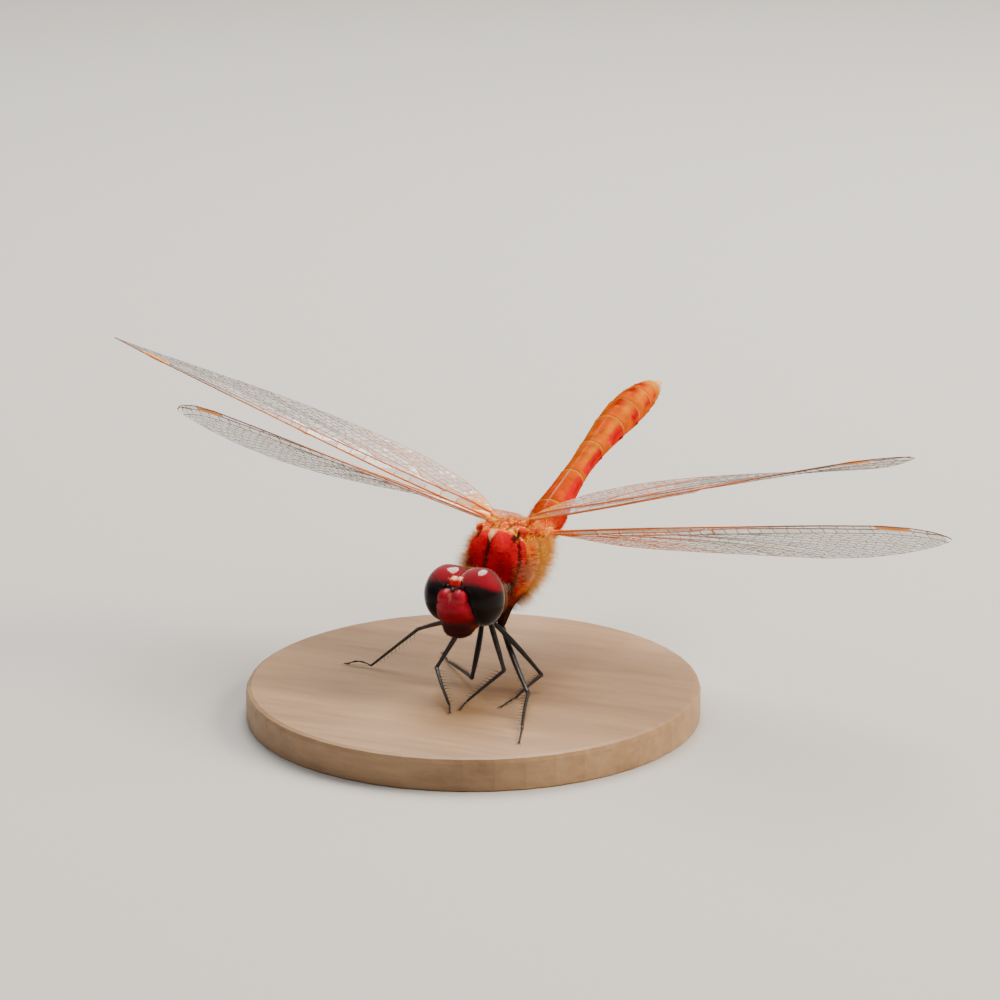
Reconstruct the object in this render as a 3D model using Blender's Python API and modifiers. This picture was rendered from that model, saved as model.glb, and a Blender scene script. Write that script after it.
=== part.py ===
"""Darter dragonfly, life size, as a still museum model on a flat round base.

Frame: metres, +Z up. The animal faces -Y, its left side is +X.
Lengths below are in millimetres and are scaled by MM when meshes are made.
The local origin of the animal is the point midway between the leading edges
of the two forewing bases; PERCH moves it to its place over the base.
"""
import math

import bmesh
import bpy
from mathutils import Matrix, Vector

MM = 0.001
GAP = 0.3  # clearance between neighbouring solids

# ---------------------------------------------------------------- main sizes
FLOOR_Z = -10.3  # level of the base's top, measured from the wing bases
BASE_THICK = 2.2
BASE_RADIUS = 15.0
BASE_CENTRE = (-1.0, -3.4)
BASE_EDGE = 0.35
PERCH = (-0.14, -4.58, -FLOOR_Z + BASE_THICK)

HEAD_CENTRE = (-0.16, -6.25, -3.68)
EYE_OFFSET = (1.27, 0.07, 0.18)
EYE_RADII = (1.58, 1.86, 1.92)
EYE_REAR = 1.40  # the back of the head is flat
HEAD_TURN = -4.0  # degrees about Z: the face looks a little to its right
HEAD_TILT = -2.5  # degrees about Y: its left eye a little higher
HEAD_TAPER = 0.4  # the head core is narrower at the back
EYE_INNER = 3.0  # the eyes flatten towards the seam where they meet

WING_THICK = 0.5
FORE_LENGTH = 28.3
HIND_LENGTH = 27.3

ABDOMEN_START = (0.0, 5.14, -2.30)
ABDOMEN_LENGTH = 21.8
ABDOMEN_RISE = 25.7  # degrees above level at its base
ABDOMEN_DROOP = 22.8  # degrees lost by its tip
ABDOMEN_TURN = -0.85
ABDOMEN_DEPTH = 0.9  # height over width

# half widths of the abdomen along its length: swollen base, waist, club
ABDOMEN_PROFILE = (
    (0.00, 1.12), (0.05, 1.22), (0.12, 1.18), (0.19, 1.00), (0.27, 0.88),
    (0.36, 0.82), (0.47, 0.92), (0.59, 1.12), (0.70, 1.28), (0.80, 1.29),
    (0.89, 1.14), (0.96, 0.90), (1.00, 0.70),
)

# thorax as level slices: height, front, back, half width
THORAX_SLICES = (
    (0.12, -1.2, 0.9, 0.60),
    (-0.10, -2.05, 1.8, 1.20),
    (-0.65, -2.78, 2.8, 2.12),
    (-1.4, -3.2, 3.3, 2.60),
    (-2.3, -3.6, 3.4, 2.82),
    (-3.2, -3.8, 2.7, 2.75),
    (-4.1, -3.75, 1.6, 2.42),
    (-4.9, -3.5, 0.2, 1.95),
    (-5.55, -3.1, -0.9, 1.40),
    (-5.90, -2.8, -1.6, 0.80),
)

# head core and face as level slices about the head's centre
HEAD_SLICES = (
    (1.72, -1.42, -0.80, 0.24),
    (1.45, -1.62, -0.30, 0.46),
    (1.12, -1.88, 0.45, 0.74),
    (0.80, -2.18, 0.80, 1.05),
    (0.30, -2.45, 0.95, 1.29),
    (-0.30, -2.42, 1.00, 1.38),
    (-0.95, -2.22, 0.90, 1.38),
    (-1.55, -1.90, 0.62, 1.17),
    (-2.05, -1.56, 0.25, 0.84),
    (-2.40, -1.22, -0.25, 0.44),
)

# wing outlines as fractions of the wing's length: place, edge ahead of the
# line from base to tip (+) or behind it (-)
FORE_LEAD = ((0, 0), (0.1, 0.012), (0.25, 0.022), (0.48, 0.024), (0.7, 0.022), (0.85, 0.016), (0.92, 0.004), (0.97, -0.014), (1.0, -0.034))
FORE_TRAIL = ((0, -0.045), (0.04, -0.085), (0.1, -0.125), (0.2, -0.165), (0.3, -0.188), (0.45, -0.205), (0.58, -0.212), (0.7, -0.203), (0.8, -0.180), (0.88, -0.148), (0.95, -0.095), (1.0, -0.052))
HIND_LEAD = ((0, 0), (0.1, 0.006), (0.25, 0.012), (0.45, 0.012), (0.7, 0.020), (0.85, 0.018), (0.92, 0.006), (0.97, -0.012), (1.0, -0.032))
HIND_TRAIL = ((0, -0.10), (0.012, -0.15), (0.04, -0.235), (0.09, -0.283), (0.16, -0.303), (0.25, -0.304), (0.35, -0.292), (0.5, -0.272), (0.62, -0.252), (0.75, -0.215), (0.85, -0.165), (0.93, -0.105), (1.0, -0.050))

# each wing: base point, sweep forward, rise, length factor, droop, twist at
# the base and its change to the tip (positive lifts the trailing edge)
WINGS = {
    "wing_fore_right": dict(side=-1, base=(-1.52, 0.05, -0.04), sweep=7.7, rise=21.7, length=FORE_LENGTH * 1.012, droop=0.002, twist=(3.4, -23.2), lead=FORE_LEAD, trail=FORE_TRAIL, start=0.012),
    "wing_fore_left": dict(side=1, base=(1.52, 0.03, 0.06), sweep=7.7, rise=17.8, length=FORE_LENGTH * 0.988, droop=0.014, twist=(9.5, -32.4), lead=FORE_LEAD, trail=FORE_TRAIL, start=0.012),
    "wing_hind_right": dict(side=-1, base=(-1.69, 2.48, -1.23), sweep=-5.5, rise=12.3, length=HIND_LENGTH * 1.005, droop=0.012, twist=(-11.4, -32.9), lead=HIND_LEAD, trail=HIND_TRAIL, start=0.020),
    "wing_hind_left": dict(side=1, base=(1.67, 2.54, -1.40), sweep=-1.4, rise=8.0, length=HIND_LENGTH, droop=0.022, twist=(-21.0, -15.0), lead=HIND_LEAD, trail=HIND_TRAIL, start=0.020),
}

# each leg: hip, knee, ankle and toe
LEGS = {
    "fore_right": ((-0.62, -4.55, -5.20), (-2.34, -6.21, -8.75), (-0.10, -9.00, -9.72), (0.40, -10.00, -9.75)),
    "fore_left": ((0.62, -4.55, -5.20), (2.62, -6.43, -8.20), (0.60, -7.80, -9.72), (0.75, -9.10, -9.75)),
    "mid_right": ((-0.72, -4.15, -5.80), (-5.25, -2.96, -7.45), (-8.30, -3.90, -9.72), (-10.05, -3.95, -9.75)),
    "mid_left": ((0.72, -4.15, -5.80), (3.92, -3.38, -9.25), (3.20, -5.95, -9.72), (2.95, -7.65, -9.75)),
    "hind_right": ((-0.70, -2.60, -6.42), (-0.45, -4.80, -9.62), (-3.90, -1.10, -9.72), (-5.20, 0.70, -9.75)),
    "hind_left": ((0.70, -2.60, -6.42), (4.25, -6.30, -9.55), (6.00, -11.20, -9.72), (6.75, -13.30, -9.75)),
}
THIGH_RADIUS = 0.26
SHIN_RADIUS = 0.25
HIP_BOW = {"fore": 0.0, "mid": 0.22, "hind": -0.36}  # thighs clear each other
FOOT_WIDTH = 0.5
FOOT_HEIGHT = 0.5

MATERIALS = {
    "body_red": ((0.62, 0.035, 0.012, 1.0), 0.42, 0.0),
    "abdomen_orange_red": ((0.72, 0.10, 0.015, 1.0), 0.42, 0.0),
    "eye_crimson": ((0.22, 0.008, 0.008, 1.0), 0.12, 0.0),
    "face_crimson": ((0.42, 0.010, 0.010, 1.0), 0.30, 0.0),
    "leg_black": ((0.012, 0.012, 0.012, 1.0), 0.35, 0.0),
    "wing_membrane": ((0.62, 0.50, 0.38, 1.0), 0.25, 0.0),
    "stand_wood": ((0.62, 0.52, 0.40, 1.0), 0.45, 0.0),
}


# ------------------------------------------------------------------- helpers
def clear_scene():
    for ob in list(bpy.data.objects):
        bpy.data.objects.remove(ob, do_unlink=True)


def make_material(name):
    mat = bpy.data.materials.get(name)
    if mat:
        return mat
    colour, rough, metal = MATERIALS[name]
    mat = bpy.data.materials.new(name)
    mat.use_nodes = True
    shader = mat.node_tree.nodes["Principled BSDF"]
    shader.inputs["Base Color"].default_value = colour
    shader.inputs["Roughness"].default_value = rough
    shader.inputs["Metallic"].default_value = metal
    mat.diffuse_color = colour
    return mat


def place(p):
    """A point of the animal in metres in the part's frame."""
    return Vector([(a + b) * MM for a, b in zip(p, PERCH)])


def head_point(p):
    """A point given about the head's own centre, in the animal's millimetres."""
    turn = Matrix.Rotation(math.radians(HEAD_TURN), 3, "Z") @ Matrix.Rotation(math.radians(HEAD_TILT), 3, "Y")
    return Vector(HEAD_CENTRE) + turn @ Vector(p)


def head_place(p):
    """The same, in metres in the part's frame."""
    return place(head_point(p))


def table(rows, u):
    """Reading of a short table of (place, value)."""
    if u <= rows[0][0]:
        return rows[0][1]
    for (a, va), (b, vb) in zip(rows, rows[1:]):
        if u <= b:
            return va + (vb - va) * (u - a) / (b - a)
    return rows[-1][1]


def add_object(name, bm, material, smooth=True):
    mesh = bpy.data.meshes.new(name)
    bmesh.ops.recalc_face_normals(bm, faces=bm.faces)
    bm.to_mesh(mesh)
    bm.free()
    mesh.materials.append(make_material(material))
    ob = bpy.data.objects.new(name, mesh)
    COLLECTION.objects.link(ob)
    if smooth:
        mesh.shade_smooth()
        mesh.set_sharp_from_angle(angle=math.radians(50))
    return ob


def loft(name, rings, material):
    """Skin over a row of closed rings with equal counts, closed at both ends."""
    bm = bmesh.new()
    rows = [[bm.verts.new(p) for p in ring] for ring in rings]
    n = len(rows[0])
    for a, b in zip(rows, rows[1:]):
        for i in range(n):
            j = (i + 1) % n
            bm.faces.new((a[i], a[j], b[j], b[i]))
    bm.faces.new(rows[0])
    bm.faces.new(rows[-1])
    return add_object(name, bm, material)


def slice_ring(z, front, back, half, count, power, taper=0.0):
    """Level superellipse ring with its front at -Y, narrower towards the back."""
    yc, hy = (front + back) / 2, (back - front) / 2
    ring = []
    for k in range(count):
        t = 2 * math.pi * k / count
        c, s = math.cos(t), math.sin(t)
        x = half * math.copysign(abs(s) ** (2 / power), s)
        y = yc - hy * math.copysign(abs(c) ** (2 / power), c)
        ring.append((x * (1 - taper * (y - front) / (back - front)), y, z))
    return ring


def to_mesh_object(ob):
    """Turn a curve object into a welded mesh object of the same name."""
    graph = bpy.context.evaluated_depsgraph_get()
    mesh = bpy.data.meshes.new_from_object(ob.evaluated_get(graph))
    bm = bmesh.new()
    bm.from_mesh(mesh)
    bmesh.ops.remove_doubles(bm, verts=bm.verts, dist=1e-6)
    bm.to_mesh(mesh)
    bm.free()
    name, matrix = ob.name, ob.matrix_world.copy()
    bpy.data.objects.remove(ob, do_unlink=True)
    new = bpy.data.objects.new(name, mesh)
    new.matrix_world = matrix
    COLLECTION.objects.link(new)
    return new


def tube(name, points, radii, material, resolution=2):
    """Tapered rod along points, with filled caps."""
    curve = bpy.data.curves.new(name, "CURVE")
    curve.dimensions = "3D"
    curve.bevel_depth = MM
    curve.bevel_resolution = resolution
    curve.use_fill_caps = True
    line = curve.splines.new("POLY")
    line.points.add(len(points) - 1)
    for q, p, r in zip(line.points, points, radii):
        q.co = (*place(p), 1.0)
        q.radius = r
    curve.materials.append(make_material(material))
    ob = bpy.data.objects.new(name, curve)
    COLLECTION.objects.link(ob)
    return ob


def cut(target, cutter):
    mod = target.modifiers.new("cut", "BOOLEAN")
    mod.operation = "DIFFERENCE"
    mod.solver = "EXACT"
    mod.object = cutter


def keep_as_cutter(ob):
    for c in list(ob.users_collection):
        c.objects.unlink(ob)
    CUTTERS.objects.link(ob)
    ob.hide_render = True
    ob.display_type = "WIRE"


def between(a, b, gap_a, gap_b):
    """The stretch from a to b, shortened at each end."""
    a, b = Vector(a), Vector(b)
    d = (b - a).normalized()
    return a + d * gap_a, b - d * gap_b


# --------------------------------------------------------------------- parts
def build_head():
    rings = []
    for z, front, back, half in HEAD_SLICES:
        rings.append([head_place(p) for p in slice_ring(z, front, back, half, 20, 2.6, HEAD_TAPER)])
    head = loft("head", rings, "face_crimson")

    # the same shape, fuller by the clearance, hollows the eyes round the face
    fuller = []
    for z, front, back, half in HEAD_SLICES:
        zz = z + GAP * (1 if z > 1.5 else -1 if z < -2.4 else 0)
        fuller.append([head_place(p) for p in slice_ring(zz, front - GAP, back + GAP, half + GAP * 1.2, 20, 2.6, HEAD_TAPER)])
    hollow = loft("cutter_face", fuller, "face_crimson")
    keep_as_cutter(hollow)

    for name, side in (("eye_right", -1), ("eye_left", 1)):
        bm = bmesh.new()
        bmesh.ops.create_uvsphere(bm, u_segments=20, v_segments=12, radius=1.0)
        a, b, c = EYE_RADII
        for v in bm.verts:
            x = v.co.x * side
            v.co.x = side * (x * (a if x > 0 else EYE_INNER))
            v.co.y *= b if v.co.y < 0 else EYE_REAR
            v.co.z *= c
            v.co += Vector((EYE_OFFSET[0] * side, EYE_OFFSET[1], EYE_OFFSET[2]))
            v.co = head_place(v.co)
        eye = add_object(name, bm, "eye_crimson")
        # flat seam where the eyes meet
        bm = bmesh.new()
        bmesh.ops.create_cube(bm, size=1.0)
        far = 8.0
        for v in bm.verts:
            v.co = Vector((v.co.x * far - side * (far / 2 - GAP / 2), v.co.y * 9.0, v.co.z * 9.0))
            v.co = head_place(v.co)
        plane = add_object("cutter_seam_" + name, bm, "eye_crimson", smooth=False)
        keep_as_cutter(plane)
        cut(eye, plane)
        cut(eye, hollow)

    for name, side in (("antenna_right", -1), ("antenna_left", 1)):
        root = Vector((side * 0.70, -2.12, 1.38))
        tip = Vector((side * 1.22, -2.70, 2.30))
        mid = root.lerp(tip, 0.5) + Vector((side * 0.06, -0.05, 0.0))
        points = [head_point(p) for p in (root, mid, tip)]
        tube(name, points, (0.26, 0.25, 0.25), "leg_black")
    return head


def build_thorax():
    rings = [[place(p) for p in slice_ring(z, f, b, w, 22, 2.2)] for z, f, b, w in THORAX_SLICES]
    loft("thorax", rings, "body_red")
    # prothorax: a low collar between the head and the thorax
    bm = bmesh.new()
    bmesh.ops.create_uvsphere(bm, u_segments=16, v_segments=8, radius=1.0)
    for v in bm.verts:
        v.co = place((v.co.x * 0.95, -4.32 + v.co.y * 0.28, -4.15 + v.co.z * 0.85))
    add_object("prothorax", bm, "body_red")


def abdomen_frame(t):
    """Centre, direction and upward vector of the abdomen at fraction t."""
    steps = 40
    turn = math.radians(ABDOMEN_TURN)
    pos = Vector(ABDOMEN_START)
    n = max(1, round(steps * t))
    for i in range(n):
        e = math.radians(ABDOMEN_RISE - ABDOMEN_DROOP * t * (i + 0.5) / n)
        step = ABDOMEN_LENGTH * t / n
        pos += Vector((math.sin(turn) * math.cos(e), math.cos(turn) * math.cos(e), math.sin(e))) * step
    e = math.radians(ABDOMEN_RISE - ABDOMEN_DROOP * t)
    along = Vector((math.sin(turn) * math.cos(e), math.cos(turn) * math.cos(e), math.sin(e)))
    across = Vector((math.cos(turn), -math.sin(turn), 0.0))
    return pos, along, across.cross(along)


def build_abdomen():
    gap = GAP / ABDOMEN_LENGTH
    parts = (("abdomen_base", 0.0, 0.27, 8), ("abdomen_middle", 0.27, 0.62, 8), ("abdomen_club", 0.62, 1.0, 9))
    for name, t0, t1, count in parts:
        t0 = t0 + (gap if t0 > 0 else 0)
        rings = []
        for i in range(count):
            t = t0 + (t1 - t0) * i / (count - 1)
            pos, along, up = abdomen_frame(t)
            across = along.cross(up)
            r = table(ABDOMEN_PROFILE, t)
            ring = []
            for k in range(16):
                q = 2 * math.pi * k / 16
                ring.append(place(pos + across * (r * math.cos(q)) + up * (r * ABDOMEN_DEPTH * math.sin(q))))
            rings.append(ring)
        loft(name, rings, "abdomen_orange_red")
    pos, along, up = abdomen_frame(1.0)
    across = along.cross(up)
    for name, side in (("cercus_right", -1), ("cercus_left", 1)):
        side_v = across if across.x * side > 0 else -across
        root = pos + along * GAP + side_v * 0.30 + up * 0.10
        tip = root + along * 1.15 + side_v * 0.10 + up * 0.05
        bm = bmesh.new()
        bmesh.ops.create_cone(bm, cap_ends=True, segments=10, radius1=0.26, radius2=0.13, depth=1.0)
        d = tip - root
        m = Matrix.Translation(place((root + tip) / 2)) @ d.to_track_quat("Z", "Y").to_matrix().to_4x4() @ Matrix.Diagonal((MM, MM, MM * d.length, 1.0))
        bmesh.ops.transform(bm, matrix=m, verts=bm.verts)
        add_object(name, bm, "abdomen_orange_red")


def wing_point(w, u, v):
    """A point of the wing: u from base to tip, v from leading to trailing edge."""
    side = w["side"]
    s, d = math.radians(w["sweep"]), math.radians(w["rise"])
    span = Vector((side * math.cos(d) * math.cos(s), -math.sin(s) * math.cos(d), math.sin(d)))
    up = (Vector((0, 0, 1)) - span * span.z).normalized()
    back = (Vector((0, 1, 0)) - span * span.y).normalized()
    lift = span.cross(back)
    if lift.z < 0:
        lift = -lift
    turn = math.radians(w["twist"][0] + w["twist"][1] * u)
    chord = back * math.cos(turn) + lift * math.sin(turn)
    lead, trail = table(w["lead"], u), table(w["trail"], u)
    e = lead + (trail - lead) * v
    return Vector(w["base"]) + span * (w["length"] * u) - up * (w["droop"] * w["length"] * u * u) - chord * (w["length"] * e)


def build_wings():
    nu, nv = 16, 4
    for name, w in WINGS.items():
        bm = bmesh.new()
        bmesh.ops.create_grid(bm, x_segments=nu, y_segments=nv, size=0.5)
        for v in bm.verts:
            u = v.co.x + 0.5
            u = w["start"] + (1.0 - w["start"]) * (1 - (1 - u) ** 1.15)
            v.co = place(wing_point(w, u, v.co.y + 0.5))
        ob = add_object(name, bm, "wing_membrane")
        mod = ob.modifiers.new("thickness", "SOLIDIFY")
        mod.thickness = WING_THICK * MM
        mod.offset = 0.0
        mod.use_even_offset = True


def build_legs():
    for leg, (hip, knee, ankle, toe) in LEGS.items():
        hip, knee, ankle, toe = (Vector(p) for p in (hip, knee, ankle, toe))
        a, b = between(hip, knee, 0.0, 0.16)
        c = a.lerp(b, 0.28) + Vector((0, 0, HIP_BOW[leg.split("_")[0]]))
        tube("leg_" + leg + "_femur", (a, c, b), (THIGH_RADIUS, THIGH_RADIUS * 1.08, SHIN_RADIUS), "leg_black")
        a, b = between(knee, ankle, 0.46, 0.10)
        tube("leg_" + leg + "_tibia", (a, b), (SHIN_RADIUS, 0.25), "leg_black")
        # tarsus: a bar with a flat sole
        a, b = between(ankle, toe, 0.42, 0.0)
        a.z = b.z = FLOOR_Z + GAP + FOOT_HEIGHT / 2
        d = b - a
        bm = bmesh.new()
        bmesh.ops.create_cube(bm, size=1.0)
        m = Matrix.Translation(place((a + b) / 2)) @ Matrix.Rotation(math.atan2(d.y, d.x), 4, "Z") @ Matrix.Diagonal((d.length * MM, FOOT_WIDTH * MM, FOOT_HEIGHT * MM, 1.0))
        bmesh.ops.transform(bm, matrix=m, verts=bm.verts)
        ob = add_object("leg_" + leg + "_tarsus", bm, "leg_black", smooth=False)
        mod = ob.modifiers.new("round", "BEVEL")
        mod.width = 0.12 * MM
        mod.segments = 1
        mod.limit_method = "ANGLE"


def build_base():
    """A flat disc: a profile turned about Z, outer side from top to bottom."""
    bm = bmesh.new()
    r, h, e = BASE_RADIUS * MM, BASE_THICK * MM, BASE_EDGE * MM
    profile = ((0, h), (r - e, h), (r - 0.3 * e, h - 0.3 * e), (r, h - e), (r, 0.3 * e), (r - 0.3 * e, 0), (0, 0))
    vs = [bm.verts.new((x, 0, z)) for x, z in profile]
    for a, b in zip(vs, vs[1:]):
        bm.edges.new((a, b))
    mesh = bpy.data.meshes.new("stand_base")
    bm.to_mesh(mesh)
    bm.free()
    mesh.materials.append(make_material("stand_wood"))
    ob = bpy.data.objects.new("stand_base", mesh)
    COLLECTION.objects.link(ob)
    ob.location = ((BASE_CENTRE[0] + PERCH[0]) * MM, (BASE_CENTRE[1] + PERCH[1]) * MM, 0)
    mod = ob.modifiers.new("turn", "SCREW")
    mod.angle = 2 * math.pi
    mod.steps = 48
    mod.render_steps = 48
    mod.use_merge_vertices = True
    mod.merge_threshold = 0.00001
    mod.use_normal_calculate = True


clear_scene()
COLLECTION = bpy.data.collections.new("dragonfly")
CUTTERS = bpy.data.collections.new("cutters")
bpy.context.scene.collection.children.link(COLLECTION)
bpy.context.scene.collection.children.link(CUTTERS)
build_head()
build_thorax()
build_abdomen()
build_wings()
build_legs()
build_base()
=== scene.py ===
import math

import bpy
import numpy as np
from mathutils import Matrix, Vector
from mathutils.geometry import delaunay_2d_cdt


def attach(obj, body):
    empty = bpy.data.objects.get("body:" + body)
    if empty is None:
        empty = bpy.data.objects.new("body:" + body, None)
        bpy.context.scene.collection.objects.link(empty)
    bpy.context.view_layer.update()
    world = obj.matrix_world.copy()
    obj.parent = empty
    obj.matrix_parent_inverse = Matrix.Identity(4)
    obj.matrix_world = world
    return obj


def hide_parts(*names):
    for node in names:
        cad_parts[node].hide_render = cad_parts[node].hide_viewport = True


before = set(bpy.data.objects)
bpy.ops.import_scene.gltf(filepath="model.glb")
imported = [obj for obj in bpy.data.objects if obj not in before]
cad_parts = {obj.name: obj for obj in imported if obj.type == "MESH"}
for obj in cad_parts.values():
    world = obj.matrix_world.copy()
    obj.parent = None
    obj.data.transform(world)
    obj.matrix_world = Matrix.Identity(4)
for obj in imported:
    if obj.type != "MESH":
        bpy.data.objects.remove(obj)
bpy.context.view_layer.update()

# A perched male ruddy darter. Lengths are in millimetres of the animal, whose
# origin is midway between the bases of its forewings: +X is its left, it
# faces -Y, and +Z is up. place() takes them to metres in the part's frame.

MM = 0.001
FLOOR_Z = -10.3
BASE_THICK = 2.2
PERCH = np.array([-0.14, -4.58, BASE_THICK - FLOOR_Z])
COAT = 0.33  # depth of the fuzz on the thorax

HEAD_CENTRE = np.array([-0.16, -6.25, -3.68])
HEAD_TURN, HEAD_TILT = -4.0, -2.5

ABDOMEN_START = (0.0, 5.14, -2.30)
ABDOMEN_LENGTH = 21.8
ABDOMEN_RISE, ABDOMEN_DROOP, ABDOMEN_TURN = 25.7, 22.8, -0.85
ABDOMEN_DEPTH = 0.9
ABDOMEN_PROFILE = ((0, 1.12), (0.05, 1.22), (0.12, 1.18), (0.19, 1.00), (0.27, 0.88), (0.36, 0.82), (0.47, 0.92), (0.59, 1.12), (0.70, 1.28), (0.80, 1.29), (0.89, 1.14), (0.96, 0.90), (1.0, 0.70))
JOINTS = (0.035, 0.106, 0.285, 0.456, 0.615, 0.739, 0.853, 0.918, 0.962)  # ends of segments 1 to 9

THORAX_SLICES = (
    (0.12, -1.2, 0.9, 0.60),
    (-0.10, -2.05, 1.8, 1.20),
    (-0.65, -2.78, 2.8, 2.12),
    (-1.4, -3.2, 3.3, 2.60),
    (-2.3, -3.6, 3.4, 2.82),
    (-3.2, -3.8, 2.7, 2.75),
    (-4.1, -3.75, 1.6, 2.42),
    (-4.9, -3.5, 0.2, 1.95),
    (-5.55, -3.1, -0.9, 1.40),
    (-5.90, -2.8, -1.6, 0.80),
)

LEGS = {
    "fore_right": ((-0.62, -4.55, -5.20), (-2.34, -6.21, -8.75), (-0.10, -9.00, -9.72), (0.40, -10.00, -9.75)),
    "fore_left": ((0.62, -4.55, -5.20), (2.62, -6.43, -8.20), (0.60, -7.80, -9.72), (0.75, -9.10, -9.75)),
    "mid_right": ((-0.72, -4.15, -5.80), (-5.25, -2.96, -7.45), (-8.30, -3.90, -9.72), (-10.05, -3.95, -9.75)),
    "mid_left": ((0.72, -4.15, -5.80), (3.92, -3.38, -9.25), (3.20, -5.95, -9.72), (2.95, -7.65, -9.75)),
    "hind_right": ((-0.70, -2.60, -6.42), (-0.45, -4.80, -9.62), (-3.90, -1.10, -9.72), (-5.20, 0.70, -9.75)),
    "hind_left": ((0.70, -2.60, -6.42), (4.25, -6.30, -9.55), (6.00, -11.20, -9.72), (6.75, -13.30, -9.75)),
}
HIP_BOW = {"fore": 0.0, "mid": 0.22, "hind": -0.36}

# colours, scene linear
RED_DEEP = (0.24, 0.003, 0.002)
RED = (0.58, 0.002, 0.014)
SCARLET = (0.74, 0.006, 0.012)
ORANGE_RED = (0.86, 0.085, 0.010)
ORANGE = (0.90, 0.20, 0.016)
GOLD = (0.88, 0.40, 0.05)
PALE = (0.86, 0.66, 0.42)
TAN = (0.50, 0.26, 0.11)
UMBER = (0.055, 0.018, 0.008)
BLACK = (0.010, 0.008, 0.007)
CRIMSON = (0.36, 0.003, 0.006)


# ------------------------------------------------------------ small helpers
def place(points):
    return (np.asarray(points, float) + PERCH) * MM


def unit(a):
    return a / np.maximum(np.linalg.norm(a, axis=-1, keepdims=True), 1e-12)


def rows(table):
    return np.array(table, float).T


def reading(table, u):
    t = rows(table)
    return np.interp(u, t[0], t[1])


def smooth_reading(table, u, spread):
    """A reading of the table with its corners rounded over +-spread."""
    t = rows(table)
    total = 0.0
    for k, w in ((-1.0, 1), (-0.5, 2), (0.0, 3), (0.5, 2), (1.0, 1)):
        total = total + w * np.interp(np.asarray(u) + k * spread, t[0], t[1])
    return total / 9.0


def ramp(x, a, b):
    s = np.clip((x - a) / (b - a), 0.0, 1.0)
    return s * s * (3 - 2 * s)


def bell(x, centre, width):
    return np.exp(-(((x - centre) / width) ** 2))


def mix(a, b, f):
    f = np.asarray(f)[..., None]
    return np.asarray(a) * (1 - f) + np.asarray(b) * f


def lumps(p, scale, seed=0):
    """Smooth variation from -1 to 1 over a length of about scale."""
    rng = np.random.default_rng(seed)
    total = 0.0
    for k in range(5):
        d = unit(rng.normal(size=3)) * (2 * math.pi / scale) * rng.uniform(0.7, 1.5)
        e = unit(rng.normal(size=3)) * (2 * math.pi / scale) * rng.uniform(0.3, 0.7)
        total = total + np.sin(p @ d + 1.7 * np.sin(p @ e + rng.uniform(0, 6.3)) + rng.uniform(0, 6.3))
    return total / 5.0


def line_distance(p, line):
    """Distance of each point to a polyline."""
    best = np.full(len(p), 1e9)
    line = np.array(line, float)
    for a, b in zip(line, line[1:]):
        d = b - a
        t = np.clip(((p - a) @ d) / (d @ d), 0, 1)
        best = np.minimum(best, np.linalg.norm(p - a - t[:, None] * d, axis=1))
    return best


def head_turn():
    t, r = math.radians(HEAD_TURN), math.radians(HEAD_TILT)
    z = np.array([[math.cos(t), -math.sin(t), 0], [math.sin(t), math.cos(t), 0], [0, 0, 1]])
    y = np.array([[math.cos(r), 0, math.sin(r)], [0, 1, 0], [-math.sin(r), 0, math.cos(r)]])
    return z @ y


HEAD_AXES = head_turn()


def from_head(q):
    return HEAD_CENTRE + np.asarray(q, float) @ HEAD_AXES.T


def to_head(p):
    return (np.asarray(p, float) - HEAD_CENTRE) @ HEAD_AXES


# ----------------------------------------------------------- mesh building
def make_mesh(name, points, blocks, uv=None, tint=None, smooth=True, uv_name="OFBake"):
    """points in the animal's millimetres; blocks are arrays of faces."""
    me = bpy.data.meshes.new(name)
    co = place(points).astype(np.float32)
    blocks = [np.asarray(b, np.int32) for b in blocks if len(b)]
    loops = np.concatenate([b.ravel() for b in blocks])
    counts = np.concatenate([np.full(len(b), b.shape[1]) for b in blocks])
    starts = np.concatenate([[0], np.cumsum(counts)[:-1]]).astype(np.int32)
    me.vertices.add(len(co))
    me.vertices.foreach_set("co", co.ravel())
    me.loops.add(len(loops))
    me.loops.foreach_set("vertex_index", loops)
    me.polygons.add(len(counts))
    me.polygons.foreach_set("loop_start", starts)
    me.polygons.foreach_set("use_smooth", np.full(len(counts), smooth))
    me.update(calc_edges=True)
    if uv is not None:
        layer = me.uv_layers.new(name=uv_name)
        layer.data.foreach_set("uv", np.asarray(uv, np.float32).ravel())
    if tint is not None:
        tint = np.asarray(tint, np.float32)
        if tint.shape[1] == 3:
            tint = np.concatenate([tint, np.ones((len(tint), 1), np.float32)], axis=1)
        layer = me.color_attributes.new(name="Tint", type="FLOAT_COLOR", domain="POINT")
        layer.data.foreach_set("color", tint.ravel())
    return me


def add_piece(name, points, blocks, material, slot=None, replaces=(), **facts):
    me = make_mesh(name, points, blocks, **facts)
    ob = bpy.data.objects.new(name, me)
    bpy.context.scene.collection.objects.link(ob)
    me.materials.append(material)
    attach(ob, "root")
    if replaces:
        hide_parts(*replaces)
    return ob


class Build:
    """Collects closed bodies into one mesh."""

    def __init__(self):
        self.points, self.tints, self.blocks, self.n = [], [], {}, 0

    def add(self, points, blocks, tint=None):
        points = np.asarray(points, float)
        self.points.append(points)
        if tint is not None:
            tint = np.asarray(tint, float)
            if tint.ndim == 1:
                tint = np.tile(tint, (len(points), 1))
            self.tints.append(tint)
        for b in blocks:
            b = np.asarray(b)
            if len(b):
                self.blocks.setdefault(b.shape[1], []).append(b + self.n)
        self.n += len(points)

    def piece(self, name, material, **facts):
        blocks = [np.concatenate(b) for b in self.blocks.values()]
        tint = np.concatenate(self.tints) if self.tints else None
        return add_piece(name, np.concatenate(self.points), blocks, material, tint=tint, **facts)


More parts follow.
